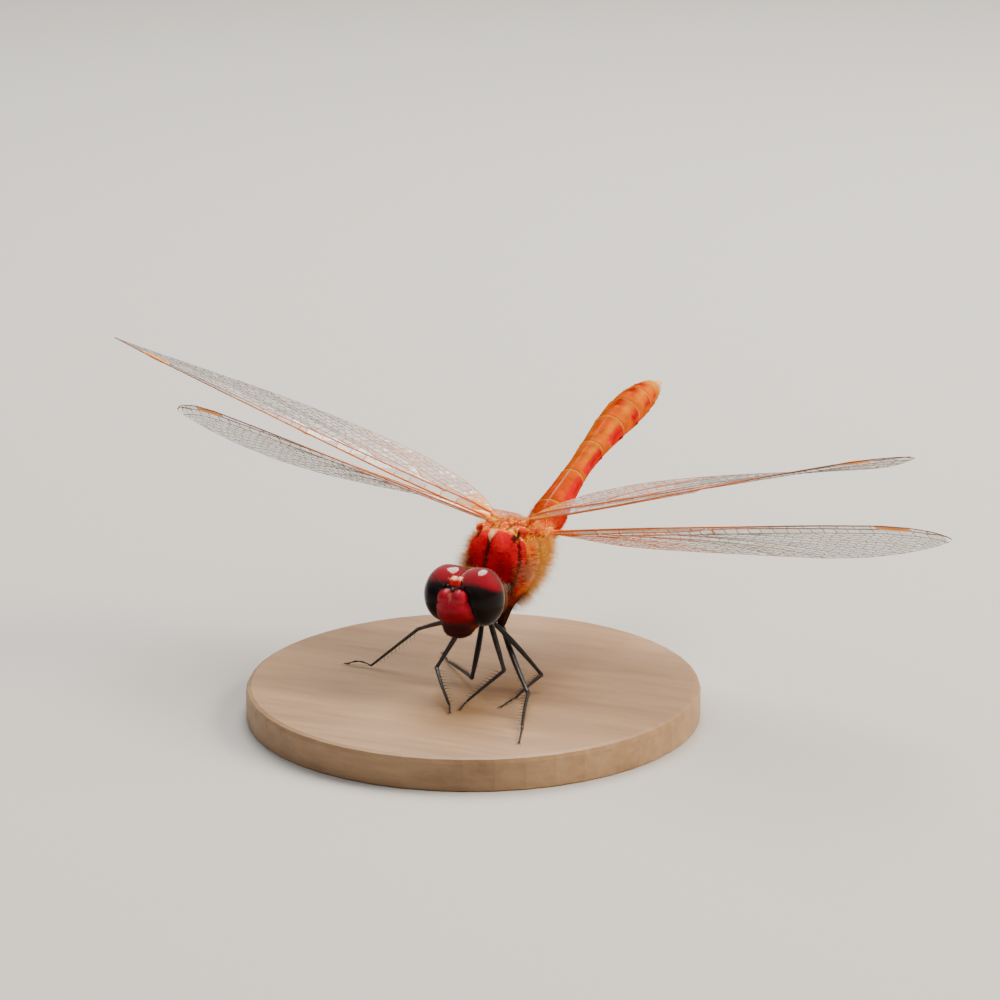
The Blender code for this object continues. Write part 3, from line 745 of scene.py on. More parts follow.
def build_field(step):
    f = Field((-3.3, -9.4, -7.0), (3.3, 27.4, 5.6), step)
    f.join((-3.2, -4.3, -6.3), (3.2, 3.9, 0.6), thorax_depth, 0.05)
    # neck and prothorax
    f.cone((0, -3.3, -3.9), (0, -4.55, -3.95), 1.0, 0.72, 0.25)
    f.ball((0, -4.05, -3.45), (0.85, 0.42, 0.55), 0.12)
    f.cone((0, -4.5, -3.95), (0, -5.4, -3.85), 0.55, 0.50, 0.1)
    for side in (-1, 1):
        # hips
        f.cone((side * 0.60, -3.3, -4.5), (side * 0.62, -4.42, -5.10), 0.52, 0.30, 0.12)
        f.cone((side * 0.75, -3.0, -5.0), (side * 0.72, -4.02, -5.70), 0.50, 0.30, 0.12)
        f.cone((side * 0.75, -2.0, -5.2), (side * 0.70, -2.58, -6.30), 0.52, 0.30, 0.12)
        # wing roots, fore then hind
        f.cone((side * 0.85, -0.15, -0.50), (side * 1.52, 0.00, -0.05), 0.42, 0.20, 0.12)
        f.cone((side * 0.80, 0.75, -0.50), (side * 1.50, 0.85, -0.12), 0.34, 0.15, 0.12)
        f.ball((side * 1.30, -0.85, -0.45), (0.42, 0.45, 0.28), 0.08)
        f.ball((side * 1.72, -0.45, -0.62), (0.36, 0.42, 0.28), 0.06)
        f.cone((side * 1.30, 2.10, -1.30), (side * 1.72, 2.48, -1.28), 0.50, 0.22, 0.12)
        f.cone((side * 1.10, 3.00, -1.60), (side * 1.62, 3.45, -1.42), 0.36, 0.15, 0.12)
        f.ball((side * 2.05, 1.20, -1.05), (0.36, 0.55, 0.30), 0.08)
        f.ball((side * 1.95, 0.30, -0.80), (0.34, 0.40, 0.26), 0.06)
    # back plates between the wings
    f.ball((0, -0.85, -0.40), (0.72, 0.70, 0.42), 0.10)
    f.ball((0, 0.15, -0.38), (0.42, 0.42, 0.42), 0.10)
    f.ball((0, 1.45, -1.12), (0.80, 0.66, 0.45), 0.10)
    f.ball((0, 2.35, -1.42), (0.48, 0.42, 0.42), 0.10)
    f.cone((0, 2.6, -2.0), (0, 5.4, -2.25), 1.15, 1.05, 0.35)
    # abdomen, a stretch at a time
    n = 44
    for i in range(n):
        a, b = AB_LINE[int(round(200 * i / n))], AB_LINE[int(round(200 * (i + 1) / n))]
        reach = 1.75
        t0, t1 = i / n, (i + 1) / n

        def shape(p, t0=t0, t1=t1, i=i):
            t, x, z = abdomen_place(p)
            angle = np.degrees(np.arctan2(z / ABDOMEN_DEPTH, x))
            rho = np.hypot(x, z / ABDOMEN_DEPTH)
            d = (rho - abdomen_radius(t, angle)) * 0.95
            past = np.maximum(-t, t - 1) * ABDOMEN_LENGTH
            d = np.maximum(d, past)
            return np.where((t < t0 - 0.02) & (i > 0) | (t > t1 + 0.02) & (i < n - 1), 4.0, d)

        f.join(np.minimum(a, b) - reach, np.maximum(a, b) + reach, shape, 0.02)
    f.ball(AB_LINE[-1] - AB_ALONG[-1] * 0.05, (0.62, 0.42, 0.52), 0.15)
    # head, in its own axes
    def hb(centre, radii, soft=0.07):
        f.ball(from_head(centre), radii, soft, HEAD_AXES)
    hb((0, 0.88, 0.02), (2.58, 0.62, 1.80), 0.1)
    hb((0, 0.0, -0.1), (1.6, 1.2, 1.7), 0.1)
    hb((0, 0.80, 1.44), (0.36, 0.42, 0.42))
    hb((0, -1.25, -0.26), (1.36, 1.14, 0.98), 0.05)
    for side in (-1, 1):
        hb((side * 0.50, -1.62, 0.44), (0.55, 0.72, 0.60), 0.05)
        hb((side * 0.22, -1.02, 1.34), (0.31, 0.42, 0.37), 0.04)
        hb((side * 0.88, -0.58, -1.24), (0.42, 0.72, 0.55), 0.10)
    hb((0, -1.06, -0.76), (1.42, 1.20, 0.66), 0.22)
    hb((0, -1.14, -1.34), (1.12, 1.04, 0.52), 0.24)
    for side in (-1, 1):
        hb((side * 0.20, -1.08, -1.72), (0.82, 0.92, 0.60), 0.22)
    hb((0, -1.0, 0.88), (0.86, 0.70, 0.34), 0.05)
    # plates and sutures of the thorax
    near = (np.abs(f.d) < 0.4)
    cells = np.argwhere(near)
    p = f.lo + f.step * cells
    on = (p[:, 1] > -4.1) & (p[:, 1] < 3.6) & (p[:, 2] > -5.8)
    cells, p = cells[on], p[on]
    away = np.maximum(np.abs(thorax_depth(p)) - 0.12, 0)
    f.d[tuple(cells.T)] -= (thorax_relief(p) * np.exp(-(away / 0.15) ** 2)).astype(np.float32)
    return f


# ---------------------------------------------------------------- markings
def thorax_tint(p):
    z = p[:, 2]
    a = thorax_angle(p)
    m = p * 1.0
    m[:, 0] = np.abs(m[:, 0])
    n1, n2 = lumps(p, 0.9, 11), lumps(p, 0.35, 12)
    a2 = a + 1.2 * n1
    c = np.tile(RED, (len(p), 1))
    n3 = lumps(p, 0.13, 13)
    # painted shade: the lower middle of the front plates is darkened as if in shade
    painted_plate_shade = bell(a, 24, 14) * bell(z, -2.5, 0.95)
    c = mix(c, (0.17, 0.002, 0.005), 0.85 * painted_plate_shade)
    c = mix(c, (0.20, 0.002, 0.005), 0.62 * ramp(n2 + 0.5 * n3, 0.1, 0.7) * (a < 54))
    c = mix(c, (0.10, 0.010, 0.005), 0.75 * (a < 44) * ramp(-z, 2.9, 3.5))
    # painted light: the top of the front plates is lighter scarlet, as where light falls on it
    c = mix(c, SCARLET, 0.6 * bell(a, 18, 12) * bell(z, -0.9, 0.5))
    c = mix(c, SCARLET, 0.6 * bell(a2, 50, 5))
    c = mix(c, (0.95, 0.26, 0.012), ramp(a2, 54, 57) * 0.9)
    c = mix(c, (0.86, 0.09, 0.008), 0.7 * bell(a2, 66, 7.5) * ramp(z, -4.9, -1.0) * (1 - ramp(z, -1.5, -1.1)))
    c = mix(c, (0.11, 0.012, 0.004), 0.98 * bell(a2, 66, 7.5) * ramp(n3 + 0.4 * np.sin(z * 19), 0.0, 0.5) * ramp(z, -4.3, -3.6) * (1 - ramp(z, -1.7, -1.3)))
    c = mix(c, (0.96, 0.58, 0.11), 0.92 * ramp(a2, 73, 80))
    c = mix(c, (0.97, 0.32, 0.020), 0.6 * ramp(a2, 95, 100))
    band = ramp(z, -5.2, -4.6) * (1 - ramp(z, -0.45, -0.25))
    c = mix(c, BLACK, 0.95 * bell(a, 0, 3.3) * band)
    c = mix(c, BLACK, (0.35 + 0.6 * ramp(z, -3.2, -2.7) * (1 - ramp(z, -1.2, -0.8))) * bell(a, 44, 1.9 + 0.5 * n2) * band)
    c = mix(c, UMBER, 0.8 * bell(a, 93, 1.9) * band)
    c = mix(c, UMBER, 0.6 * bell(a, 57, 1.6) * band * (1 - ramp(z, -2.4, -1.4)))
    # pale wedge at the top of the mid groove
    wedge = 0.85 * (1 - ramp(np.abs(p[:, 0] + 0.20) - 0.03 - 0.20 * ramp(z, -0.95, -0.3) + 0.05 * n2, -0.02, 0.05)) * ramp(z, -0.98, -0.88) * (p[:, 1] < -1.6)
    c = mix(c, mix(np.tile(PALE, (len(p), 1)), (0.90, 0.30, 0.02), ramp(n3, -0.1, 0.5)), wedge * (0.55 + 0.45 * ramp(n2 + n3, -0.6, 0.0)))
    edge = bell(p[:, 1] + 0.05 * n2, -1.64, 0.14) * (z > -1.0) * (m[:, 0] < 1.5)
    c = mix(c, (0.95, 0.32, 0.02), 0.85 * edge * ramp(n3 + 0.4 * n2, -0.25, 0.15))
    c = mix(c, UMBER, 0.8 * edge * bell(n3 - 0.3 * n2, -0.45, 0.10))
    c = mix(c, (0.72, 0.035, 0.008), 0.8 * bell(a, 62, 11) * bell(z, -3.5, 0.8))
    # lower plates and hips
    c = mix(c, (0.22, 0.02, 0.008), ramp(-z, 3.9, 4.6))
    c = mix(c, BLACK, 0.9 * ramp(-z, 4.9, 5.3))
    c = mix(c, BLACK, 0.95 * (1 - ramp(np.linalg.norm(m - [1.42, -3.2, -4.1], axis=1), 0.3, 0.5)))
    c = mix(c, BLACK, 0.75 * (a < 45) * ramp(-z, 3.3, 3.9))
    c = mix(c, PALE, 1 - ramp(np.linalg.norm(m - [1.26, -3.35, -3.72], axis=1), 0.08, 0.18))
    # above the line under the wings
    s = line_distance(m, WING_LINE)
    above = (m[:, 2] > np.interp(m[:, 1], [-2.5, -1.78, -1.36, -0.29, 0.8, 2.0, 3.5], [-0.35, -0.72, -1.03, -1.24, -1.6, -1.95, -2.2])) & (m[:, 1] > -1.75) & (m[:, 0] > 1.15)
    c = mix(c, mix(np.tile((0.96, 0.36, 0.014), (len(p), 1)), (0.84, 0.04, 0.008), ramp(n1 + 0.6 * n3, -0.1, 0.4)), 0.92 * above)
    # pale patches at the wing bases: part pale sclerites, part painted highlights standing in for glints
    c = mix(c, PALE, 0.85 * above * ramp(n2, 0.38, 0.52))
    c = mix(c, UMBER, 0.9 * above * bell(n2, -0.15, 0.08))
    c = mix(c, RED, 0.9 * above * (1 - ramp(np.linalg.norm(m - [2.15, -0.45, -0.85], axis=1), 0.16, 0.30)))
    c = mix(c, (0.50, 0.004, 0.008), 0.9 * (1 - ramp(np.linalg.norm((m - [1.55, -1.15, -0.50]) * [1, 1, 0.8], axis=1) + 0.10 * n3, 0.28, 0.42)))
    c = mix(c, UMBER, 0.85 * bell(s, 0, 0.09))
    # dark mark in front of the wing, and the back between the wings
    c = mix(c, BLACK, 0.95 * (1 - ramp(np.linalg.norm((m - [1.34, -1.80, -0.40]) * [1, 0.4, 0.42], axis=1) + 0.06 * n3, 0.19, 0.28)))
    back = (m[:, 0] < 1.3) & (p[:, 1] > -1.5) & (z > -1.6)
    c = mix(c, mix(np.tile((0.84, 0.25, 0.012), (len(p), 1)), (0.80, 0.56, 0.30), np.clip(0.02 + 0.75 * n2, 0, 0.8)), 0.92 * back)
    c = mix(c, (0.66, 0.010, 0.008), 0.85 * back * ramp(n1 + 0.5 * n3, 0.05, 0.30))
    c = mix(c, UMBER, np.clip(0.9 * back * (bell(m[:, 0], 0.62, 0.10) + bell(m[:, 0], 0, 0.06) + bell(n2, -0.25, 0.06)), 0, 0.9))
    c = mix(c, RED, 0.8 * ((p[:, 1] > 2.2) & (z < -1.3) & (m[:, 0] < 1.6)))
    return c


def abdomen_tint(p):
    t, x, z = abdomen_place(p)
    angle = np.degrees(np.arctan2(z / ABDOMEN_DEPTH, x))
    off = np.abs(((angle - 90 + 180) % 360) - 180)  # 0 on top, 180 below
    n1, n2 = lumps(p, 1.3, 21), lumps(p, 0.5, 22)
    edges = np.array((0.0,) + JOINTS + (1.0,))
    seg = np.clip(np.searchsorted(edges, np.clip(t, 0, 1)) - 1, 0, 9)
    s = (t - edges[seg]) / (edges[seg + 1] - edges[seg])
    c = np.tile((0.86, 0.118, 0.002), (len(p), 1))
    c = mix(c, (0.82, 0.055, 0.002), 0.7 * (1 - ramp(t, 0.1, 0.3)))
    c = mix(c, (0.90, 0.22, 0.004), 0.6 * ramp(n1, -0.2, 0.6) * ramp(t, 0.25, 0.5))
    club = ramp(t, 0.66, 0.76)
    flank = (1 - club) * ramp(off, 46 - 14 * (1 - ramp(t, 0.2, 0.35)), 66) * (1 - ramp(off, 104, 120)) + club * bell(off, 68, 15)
    begin = np.interp(t, [0.0, 0.28, 0.46, 0.61, 0.74, 0.85], [0.0, 0.08, 0.22, 0.42, 0.62, 0.80])
    patch = ramp(s + 0.10 * n2, begin, begin + 0.16) * (1 - ramp(s, 0.88, 0.97)) * (1 - 0.45 * ramp(t, 0.72, 0.80))
    c = mix(c, (0.86, 0.005, 0.006), np.clip(1.6 * flank * patch, 0, 0.98))
    c = mix(c, (0.55, 0.003, 0.005), 0.8 * bell(off, 78, 11) * ramp(s, 0.35, 0.6) * (1 - ramp(s, 0.9, 0.97)))
    c = mix(c, (0.80, 0.045, 0.003), 0.6 * bell(off, 18, 9) * ramp(s, 0.2, 0.4) * (1 - ramp(s, 0.75, 0.9)) * ramp(t, 0.3, 0.5))
    c = mix(c, (0.92, 0.26, 0.006), 0.75 * bell(off, 40, 13) * ramp(s, 0.1, 0.4) * ramp(t, 0.25, 0.4))
    for j in JOINTS[1:7]:
        d = (t - j) * ABDOMEN_LENGTH
        c = mix(c, (0.94, 0.40, 0.05), 0.7 * bell(d, -0.08, 0.15) * (1 - ramp(off, 75, 110)))
    c = mix(c, PALE, 0.8 * bell(off, 0, 1.9) * ramp(t, 0.05, 0.1) * (1 - 0.75 * ramp(t, 0.24, 0.32)) * (1 - ramp(t, 0.50, 0.7)))
    for lo, hi in ((0.685, 0.739), (0.800, 0.853), (0.880, 0.918)):
        dash = ramp(t, lo - 0.004, lo + 0.008) * (1 - ramp(t, hi - 0.012, hi + 0.002))
        c = mix(c, (0.42, 0.004, 0.006), 0.85 * dash * bell(off, 0, 15))
    for j in JOINTS[3:6]:
        d = (t - j) * ABDOMEN_LENGTH
        c = mix(c, BLACK, 0.9 * bell(d, -0.45, 0.34) * bell(off, 116, 8))
    c = mix(c, (0.14, 0.03, 0.012), 0.85 * ramp(off, 128, 145))
    c = mix(c, UMBER, 0.9 * ramp(off, 165, 172))
    c = mix(c, (0.95, 0.36, 0.03), 0.75 * ramp(t, 0.905, 0.95))
    c = mix(c, (0.94, 0.55, 0.24), 0.8 * ramp(t, 0.955, 0.99))
    for j in JOINTS:
        d = (t - j) * ABDOMEN_LENGTH
        c = c * (1 - 0.40 * bell(d, 0.06, 0.05))[:, None]
    return 0.49 * c


def head_tint(q):
    x, y, z = q[:, 0], q[:, 1], q[:, 2]
    ax = np.abs(x)
    n1, n2 = lumps(q, 0.8, 31), lumps(q, 0.3, 32)
    c = np.tile((0.28, 0.001, 0.012), (len(q), 1))
    c = mix(c, (0.40, 0.002, 0.018), 0.6 * bell(z, 0.25, 0.45))
    c = mix(c, (0.20, 0.002, 0.005), 0.35 * ramp(n2, 0.0, 0.6))
    c = mix(c, (0.17, 0.001, 0.007), ramp(-z, 0.15, 0.75))
    c = mix(c, (0.030, 0.003, 0.003), ramp(-z, 0.90, 1.30))
    c = mix(c, (0.40, 0.006, 0.008), 0.35 * (ax > 1.05) * bell(z, -0.55, 0.3))
    # rims of the lower face
    c = mix(c, (0.30, 0.035, 0.009), 0.45 * ramp(ax, 1.00, 1.15) * ramp(-z, 1.2, 1.6))
    # lobes of the forehead: paler between them
    c = mix(c, (0.80, 0.30, 0.22), 0.65 * bell(x, 0.0, 0.10) * bell(z, 0.62, 0.22) * (y < -1.4))
    # black behind and between the lobes of the forehead
    lobe = np.sqrt(((ax - 0.50) / 0.55) ** 2 + ((y + 1.62) / 0.72) ** 2 + ((z - 0.44) / 0.60) ** 2)
    main = np.sqrt((x / 1.36) ** 2 + ((y + 1.25) / 1.14) ** 2 + ((z + 0.26) / 0.98) ** 2)
    whole = (y < -0.3) * ramp(np.minimum(lobe, main), 1.04, 1.09) * (z > 0.45)
    whole = np.maximum(whole, (y > -1.62) * (y < -0.3) * ramp(z, 0.62, 0.72))
    c = mix(c, BLACK, 0.97 * whole)
    top = (ax < 0.58) & (z > 1.10) & (y < -0.3)
    c = mix(c, (0.60, 0.007, 0.006), top * ramp(z + 0.10 * n2, 1.14, 1.22))
    # painted highlight: the pale pink top of the vertex
    c = mix(c, (0.80, 0.36, 0.24), top * ramp(z + 0.04 * np.cos(ax * 14), 1.50, 1.58) * 0.9)
    # back of the head
    rear = ramp(y, 0.25, 0.5)
    c = mix(c, mix(np.tile((0.05, 0.018, 0.010), (len(q), 1)), (0.22, 0.07, 0.025), 0.5 + 0.5 * n1), rear)
    c = mix(c, (0.15, 0.045, 0.014), 0.9 * rear * ramp(np.hypot(x / 2.6, z / 1.85), 0.82, 0.93))
    return c


def body_tint(p):
    q = to_head(p)
    t, x, z = abdomen_place(p)
    on_abdomen = ramp(p[:, 1], 3.6, 4.3) * (np.hypot(x, z) < 1.9)
    c = thorax_tint(p)
    c = mix(c, abdomen_tint(p), on_abdomen)
    neck = ramp(-p[:, 1], 3.5, 3.9) * (np.abs(p[:, 0]) < 1.1) * (p[:, 2] > -5.0)
    c = mix(c, mix(np.tile(UMBER, (len(p), 1)), (0.45, 0.10, 0.03), 0.5 + 0.5 * lumps(p, 0.4, 5)), neck)
    c = mix(c, head_tint(q), ((q[:, 1] < 1.6) & (p[:, 1] < -4.62)).astype(float))
    return np.clip(c, 0, 1)


STEP = 0.062
field = build_field(STEP)
skin_points, skin_faces = field.surface()


def relax(points, faces, rounds=2, share=0.5):
    """Evens the surface a little without shrinking it much."""
    n = len(points)
    a = np.concatenate([faces[:, k] for k in range(4)])
    b = np.concatenate([faces[:, (k + 1) % 4] for k in range(4)])
    deg = np.bincount(a, minlength=n) + np.bincount(b, minlength=n)
    for k in range(rounds):
        for sign in (share, -share * 1.04):
            total = np.stack([np.bincount(a, points[b, i], n) + np.bincount(b, points[a, i], n) for i in range(3)], 1)
            points = points + sign * (total / np.maximum(deg, 1)[:, None] - points)
    return points


skin_points = relax(skin_points, skin_faces)
SKIN_TINT = body_tint(skin_points)
q = to_head(skin_points)
SHINE = (q[:, 1] < -0.3) * (skin_points[:, 1] < -4.62) * (0.35 + 0.65 * ramp(q[:, 2], -0.6, 0.2))
add_piece("skin", skin_points, [skin_faces], SKIN, slot="body_red", tint=np.column_stack([SKIN_TINT, SHINE]),
          replaces=("head", "prothorax", "thorax", "abdomen_base", "abdomen_middle", "abdomen_club"))


def face_normals(points, faces):
    a = points[faces[:, 2]] - points[faces[:, 0]]
    b = points[faces[:, 3]] - points[faces[:, 1]]
    n = np.cross(a, b)
    area = np.linalg.norm(n, axis=1) / 2
    return n / np.maximum(2 * area, 1e-12)[:, None], area


# -------------------------------------------------------------------- eyes
EYE_OFFSET = np.array([1.27, 0.07, 0.18])
EYE_A, EYE_B, EYE_C = 1.58, 1.86, 1.92
EYE_REAR, EYE_INNER = 1.40, 2.9


def eye_shape(side):
    nu, nv = ((120, 84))
    v, blocks = ellipsoid((0, 0, 0), (1, 1, 1), nu, nv, axes=np.array([[0, 0, 1.0], [1.0, 0, 0], [0, 1.0, 0]]))
    x = np.where(v[:, 0] > 0, v[:, 0] * (EYE_A if side < 0 else 1.40), v[:, 0] * EYE_INNER)
    y = np.where(v[:, 1] < 0, v[:, 1] * EYE_B, v[:, 1] * (EYE_REAR if side < 0 else 1.26))
    z = v[:, 2] * EYE_C - 0.45 * np.clip(-x - 0.60, 0, 0.9) ** 2 * ramp(v[:, 2], 0.0, 0.5)
    p = np.stack([x, y, z], 1) + EYE_OFFSET
    # the inner margin gives way to the forehead and the vertex
    inner = np.interp(p[:, 2], [-2.5, -1.8, -1.0, -0.2, 0.4, 0.8, 1.1, 1.45, 1.72, 1.9, 2.3], [0.55, 0.85, 1.10, 1.12, 0.95, 0.62, 0.40, 0.32, 0.20, 0.012, 0.012])
    front = 1 - ramp(p[:, 1], -0.9, -0.3)
    least = 0.012 + (inner - 0.012) * front
    p[:, 0] = np.maximum(p[:, 0], least)
    recess = 0.16 * (1 - ramp(p[:, 0], 0.9, 2.0)) * front * (1 - ramp(p[:, 2], 0.6, 1.3))
    p[:, 1] += recess
    p[:, 0] *= side
    if side < 0:
        blocks = [b[:, ::-1] for b in blocks]
    return p, blocks


def eye_tint(q):
    x, y, z = np.abs(q[:, 0]), q[:, 1], q[:, 2]
    line = 1.07 + 0.04 * lumps(q, 2.0, 41) + 0.26 * ramp(-y, 0.2, 1.5)
    line = line + 0.42 * ramp(-q[:, 0], 1.7, 2.7) * ramp(-y, -0.5, 0.5) - 0.36 * ramp(q[:, 0], 1.5, 2.8)
    up = ramp(z - line, -0.14, 0.26)
    c = mix(np.tile((0.007, 0.004, 0.004), (len(q), 1)), (0.22, 0.0006, 0.008), up)
    c = mix(c, (0.075, 0.009, 0.007), 0.85 * up * ramp(y, -0.50, 0.30))
    rim = ramp(y, 0.75, 1.15)
    c = mix(c, (0.13, 0.026, 0.009), 0.85 * rim * (1 - 0.3 * ramp(z, 0.8, 1.4)))
    c = mix(c, (0.10, 0.02, 0.008), 0.8 * ramp(-z, 1.2, 1.75))
    return np.column_stack([c, ramp(z, 0.7, 1.5)])


for name, side in (("eye_right", -1), ("eye_left", 1)):
    q, blocks = eye_shape(side)
    add_piece(name + "_facets", from_head(q), blocks, EYE, slot="eye_crimson", tint=eye_tint(q), replaces=(name,))

# simple eyes on the black band, and the antennae
beads = Build()
for c, r in (((0, -1.66, 0.99), 0.125), ((-0.47, -1.42, 1.16), 0.10), ((0.47, -1.42, 1.16), 0.10)):
    v, b = ellipsoid(from_head(c), (r, r, r), 20, 12)
    beads.add(v, b, (0.05, 0.022, 0.016, 1.0))
beads.piece("ocelli", EYE, slot="eye_crimson")

for name, side in (("antenna_right", -1), ("antenna_left", 1)):
    made = Build()
    root = np.array([side * 0.66, -1.52, 1.12])
    v, b = tube(from_head([root, root + [side * 0.02, -0.10, 0.10], root + [side * 0.03, -0.20, 0.18]]), [0.095, 0.10, 0.07], 10)
    made.add(v, b, BLACK)
    s = np.linspace(0, 1, 12)
    start = root + [side * 0.03, -0.20, 0.18]
    line = start + np.outer(s, [side * 0.52, -0.62, 0.80]) + np.outer(s * (1 - s), [-side * 0.10, -0.25, 0.25])
    v, b = tube(from_head(line), 0.045 * (1 - s) + 0.013, 7)
    made.add(v, b, BLACK)
    made.piece(name + "_bristle", LEG, slot="leg_black", replaces=(name,))


# ------------------------------------------------------------------- wings
FORE_LEAD = ((0, 0), (0.1, 0.012), (0.25, 0.022), (0.48, 0.024), (0.7, 0.022), (0.85, 0.016), (0.92, 0.004), (0.97, -0.014), (1.0, -0.034))
FORE_TRAIL = ((0, -0.045), (0.04, -0.085), (0.1, -0.125), (0.2, -0.165), (0.3, -0.188), (0.45, -0.205), (0.58, -0.212), (0.7, -0.203), (0.8, -0.180), (0.88, -0.148), (0.95, -0.095), (1.0, -0.052))
HIND_LEAD = ((0, 0), (0.1, 0.006), (0.25, 0.012), (0.45, 0.012), (0.7, 0.020), (0.85, 0.018), (0.92, 0.004), (0.97, -0.022), (0.99, -0.042), (1.0, -0.060))
HIND_TRAIL = ((0, -0.040), (0.012, -0.075), (0.030, -0.150), (0.055, -0.235), (0.09, -0.283), (0.16, -0.303), (0.25, -0.304), (0.35, -0.294), (0.5, -0.280), (0.62, -0.268), (0.75, -0.228), (0.85, -0.178), (0.93, -0.128), (0.98, -0.090), (1.0, -0.068))
FORE_LENGTH, HIND_LENGTH = 28.3, 27.3
WINGS = {
    "wing_fore_right": dict(side=-1, base=(-1.52, 0.05, -0.04), sweep=7.7, rise=21.7, length=FORE_LENGTH * 1.012, droop=0.002, twist=(3.4, -23.2), kind="fore"),
    "wing_fore_left": dict(side=1, base=(1.52, 0.03, 0.06), sweep=7.7, rise=17.8, length=FORE_LENGTH * 0.988, droop=0.014, twist=(9.5, -32.4), kind="fore"),
    "wing_hind_right": dict(side=-1, base=(-1.69, 2.48, -1.23), sweep=-5.5, rise=12.3, length=HIND_LENGTH * 1.005, droop=0.012, twist=(-11.4, -32.9), kind="hind"),
    "wing_hind_left": dict(side=1, base=(1.67, 2.54, -1.40), sweep=-1.4, rise=8.0, length=HIND_LENGTH, droop=0.022, twist=(-21.0, -15.0), kind="hind"),
}

# Long veins from front to back: start, how far behind the leading edge along
# the wing (shares of its length), height of its fold in mm, and thickness.
VEINS = {
    "fore": (
        ("costa", 0.0, ((0, 0.0), (1, 0.0)), 0.05, 0.075),
        ("subcosta", 0.0, ((0, 0.012), (0.05, 0.016), (0.2, 0.019), (0.4, 0.019), (0.46, 0.012), (0.49, 0.0), (1, 0.0)), -0.16, 0.045),
        ("radius", 0.0, ((0, 0.026), (0.05, 0.033), (0.1, 0.036), (0.3, 0.037), (0.48, 0.033), (0.53, 0.025), (0.6, 0.022), (0.8, 0.022), (0.92, 0.021), (0.96, 0.016), (0.985, 0.004), (1, 0.002)), 0.16, 0.062),
        ("radial_1", 0.12, ((0.12, 0.037), (0.15, 0.052), (0.2, 0.057), (0.35, 0.059), (0.45, 0.053), (0.5, 0.047), (0.6, 0.044), (0.8, 0.045), (0.9, 0.045), (0.95, 0.043), (1.0, 0.04)), -0.14, 0.040),
        ("radial_2", 0.46, ((0.46, 0.052), (0.55, 0.068), (0.65, 0.084), (0.75, 0.096), (0.85, 0.106), (0.93, 0.113), (1.0, 0.12)), 0.05, 0.028),
        ("between", 0.36, ((0.36, 0.058), (0.45, 0.078), (0.55, 0.098), (0.65, 0.122), (0.75, 0.144), (0.87, 0.170), (1.0, 0.2)), -0.05, 0.028),
        ("radial_3", 0.29, ((0.29, 0.058), (0.4, 0.090), (0.5, 0.118), (0.6, 0.150), (0.68, 0.186), (0.74, 0.23), (1.0, 0.4)), 0.06, 0.032),
        ("media", 0.12, ((0.12, 0.037), (0.15, 0.060), (0.2, 0.073), (0.3, 0.094), (0.4, 0.121), (0.5, 0.151), (0.58, 0.184), (0.66, 0.24), (1.0, 0.5)), -0.08, 0.036),
        ("media_back", 0.19, ((0.19, 0.071), (0.22, 0.100), (0.27, 0.125), (0.35, 0.152), (0.43, 0.180), (0.5, 0.212), (0.55, 0.245), (1.0, 0.6)), 0.06, 0.032),
        ("cubitus", 0.0, ((0, 0.034), (0.05, 0.052), (0.1, 0.068), (0.16, 0.086), (0.2, 0.105), (0.24, 0.135), (0.29, 0.168), (0.35, 0.198), (0.40, 0.23), (1.0, 0.7)), -0.07, 0.036),
    ),
    "hind": (
        ("costa", 0.0, ((0, 0.0), (1, 0.0)), 0.05, 0.075),
        ("subcosta", 0.0, ((0, 0.014), (0.05, 0.018), (0.2, 0.021), (0.34, 0.020), (0.39, 0.012), (0.42, 0.0), (1, 0.0)), -0.16, 0.045),
        ("radius", 0.0, ((0, 0.030), (0.05, 0.037), (0.1, 0.040), (0.3, 0.040), (0.41, 0.036), (0.46, 0.027), (0.6, 0.024), (0.8, 0.024), (0.92, 0.022), (0.96, 0.016), (0.985, 0.004), (1, 0.002)), 0.16, 0.062),
        ("radial_1", 0.11, ((0.11, 0.040), (0.14, 0.056), (0.25, 0.062), (0.38, 0.058), (0.44, 0.052), (0.55, 0.047), (0.8, 0.048), (0.9, 0.048), (0.95, 0.045), (1.0, 0.042)), -0.14, 0.040),
        ("radial_2", 0.40, ((0.40, 0.056), (0.46, 0.070), (0.55, 0.088), (0.65, 0.105), (0.75, 0.118), (0.85, 0.128), (0.92, 0.135), (1.0, 0.14)), 0.05, 0.028),
        ("between", 0.30, ((0.30, 0.060), (0.36, 0.078), (0.45, 0.102), (0.55, 0.127), (0.65, 0.152), (0.75, 0.175), (0.86, 0.20), (1.0, 0.23)), -0.05, 0.028),
        ("radial_3", 0.24, ((0.24, 0.062), (0.3, 0.088), (0.4, 0.120), (0.5, 0.155), (0.6, 0.195), (0.68, 0.235), (0.72, 0.27), (1.0, 0.5)), 0.06, 0.032),
        ("media", 0.11, ((0.11, 0.040), (0.16, 0.075), (0.25, 0.098), (0.35, 0.128), (0.45, 0.165), (0.53, 0.205), (0.60, 0.25), (0.64, 0.29), (1.0, 0.6)), -0.08, 0.036),
        ("media_back", 0.165, ((0.165, 0.077), (0.2, 0.118), (0.28, 0.152), (0.36, 0.190), (0.43, 0.235), (0.50, 0.30), (1.0, 0.8)), 0.06, 0.032),
        ("cubitus", 0.0, ((0, 0.042), (0.05, 0.060), (0.1, 0.074), (0.17, 0.100), (0.2, 0.135), (0.25, 0.180), (0.3, 0.230), (0.37, 0.32), (1.0, 0.9)), -0.07, 0.036),
        ("anal", 0.0, ((0, 0.055), (0.03, 0.085), (0.08, 0.115), (0.12, 0.145), (0.15, 0.185), (0.175, 0.24), (0.20, 0.33), (1.0, 0.95)), 0.06, 0.030),
    ),
}
NODUS = {"fore": 0.49, "hind": 0.42}
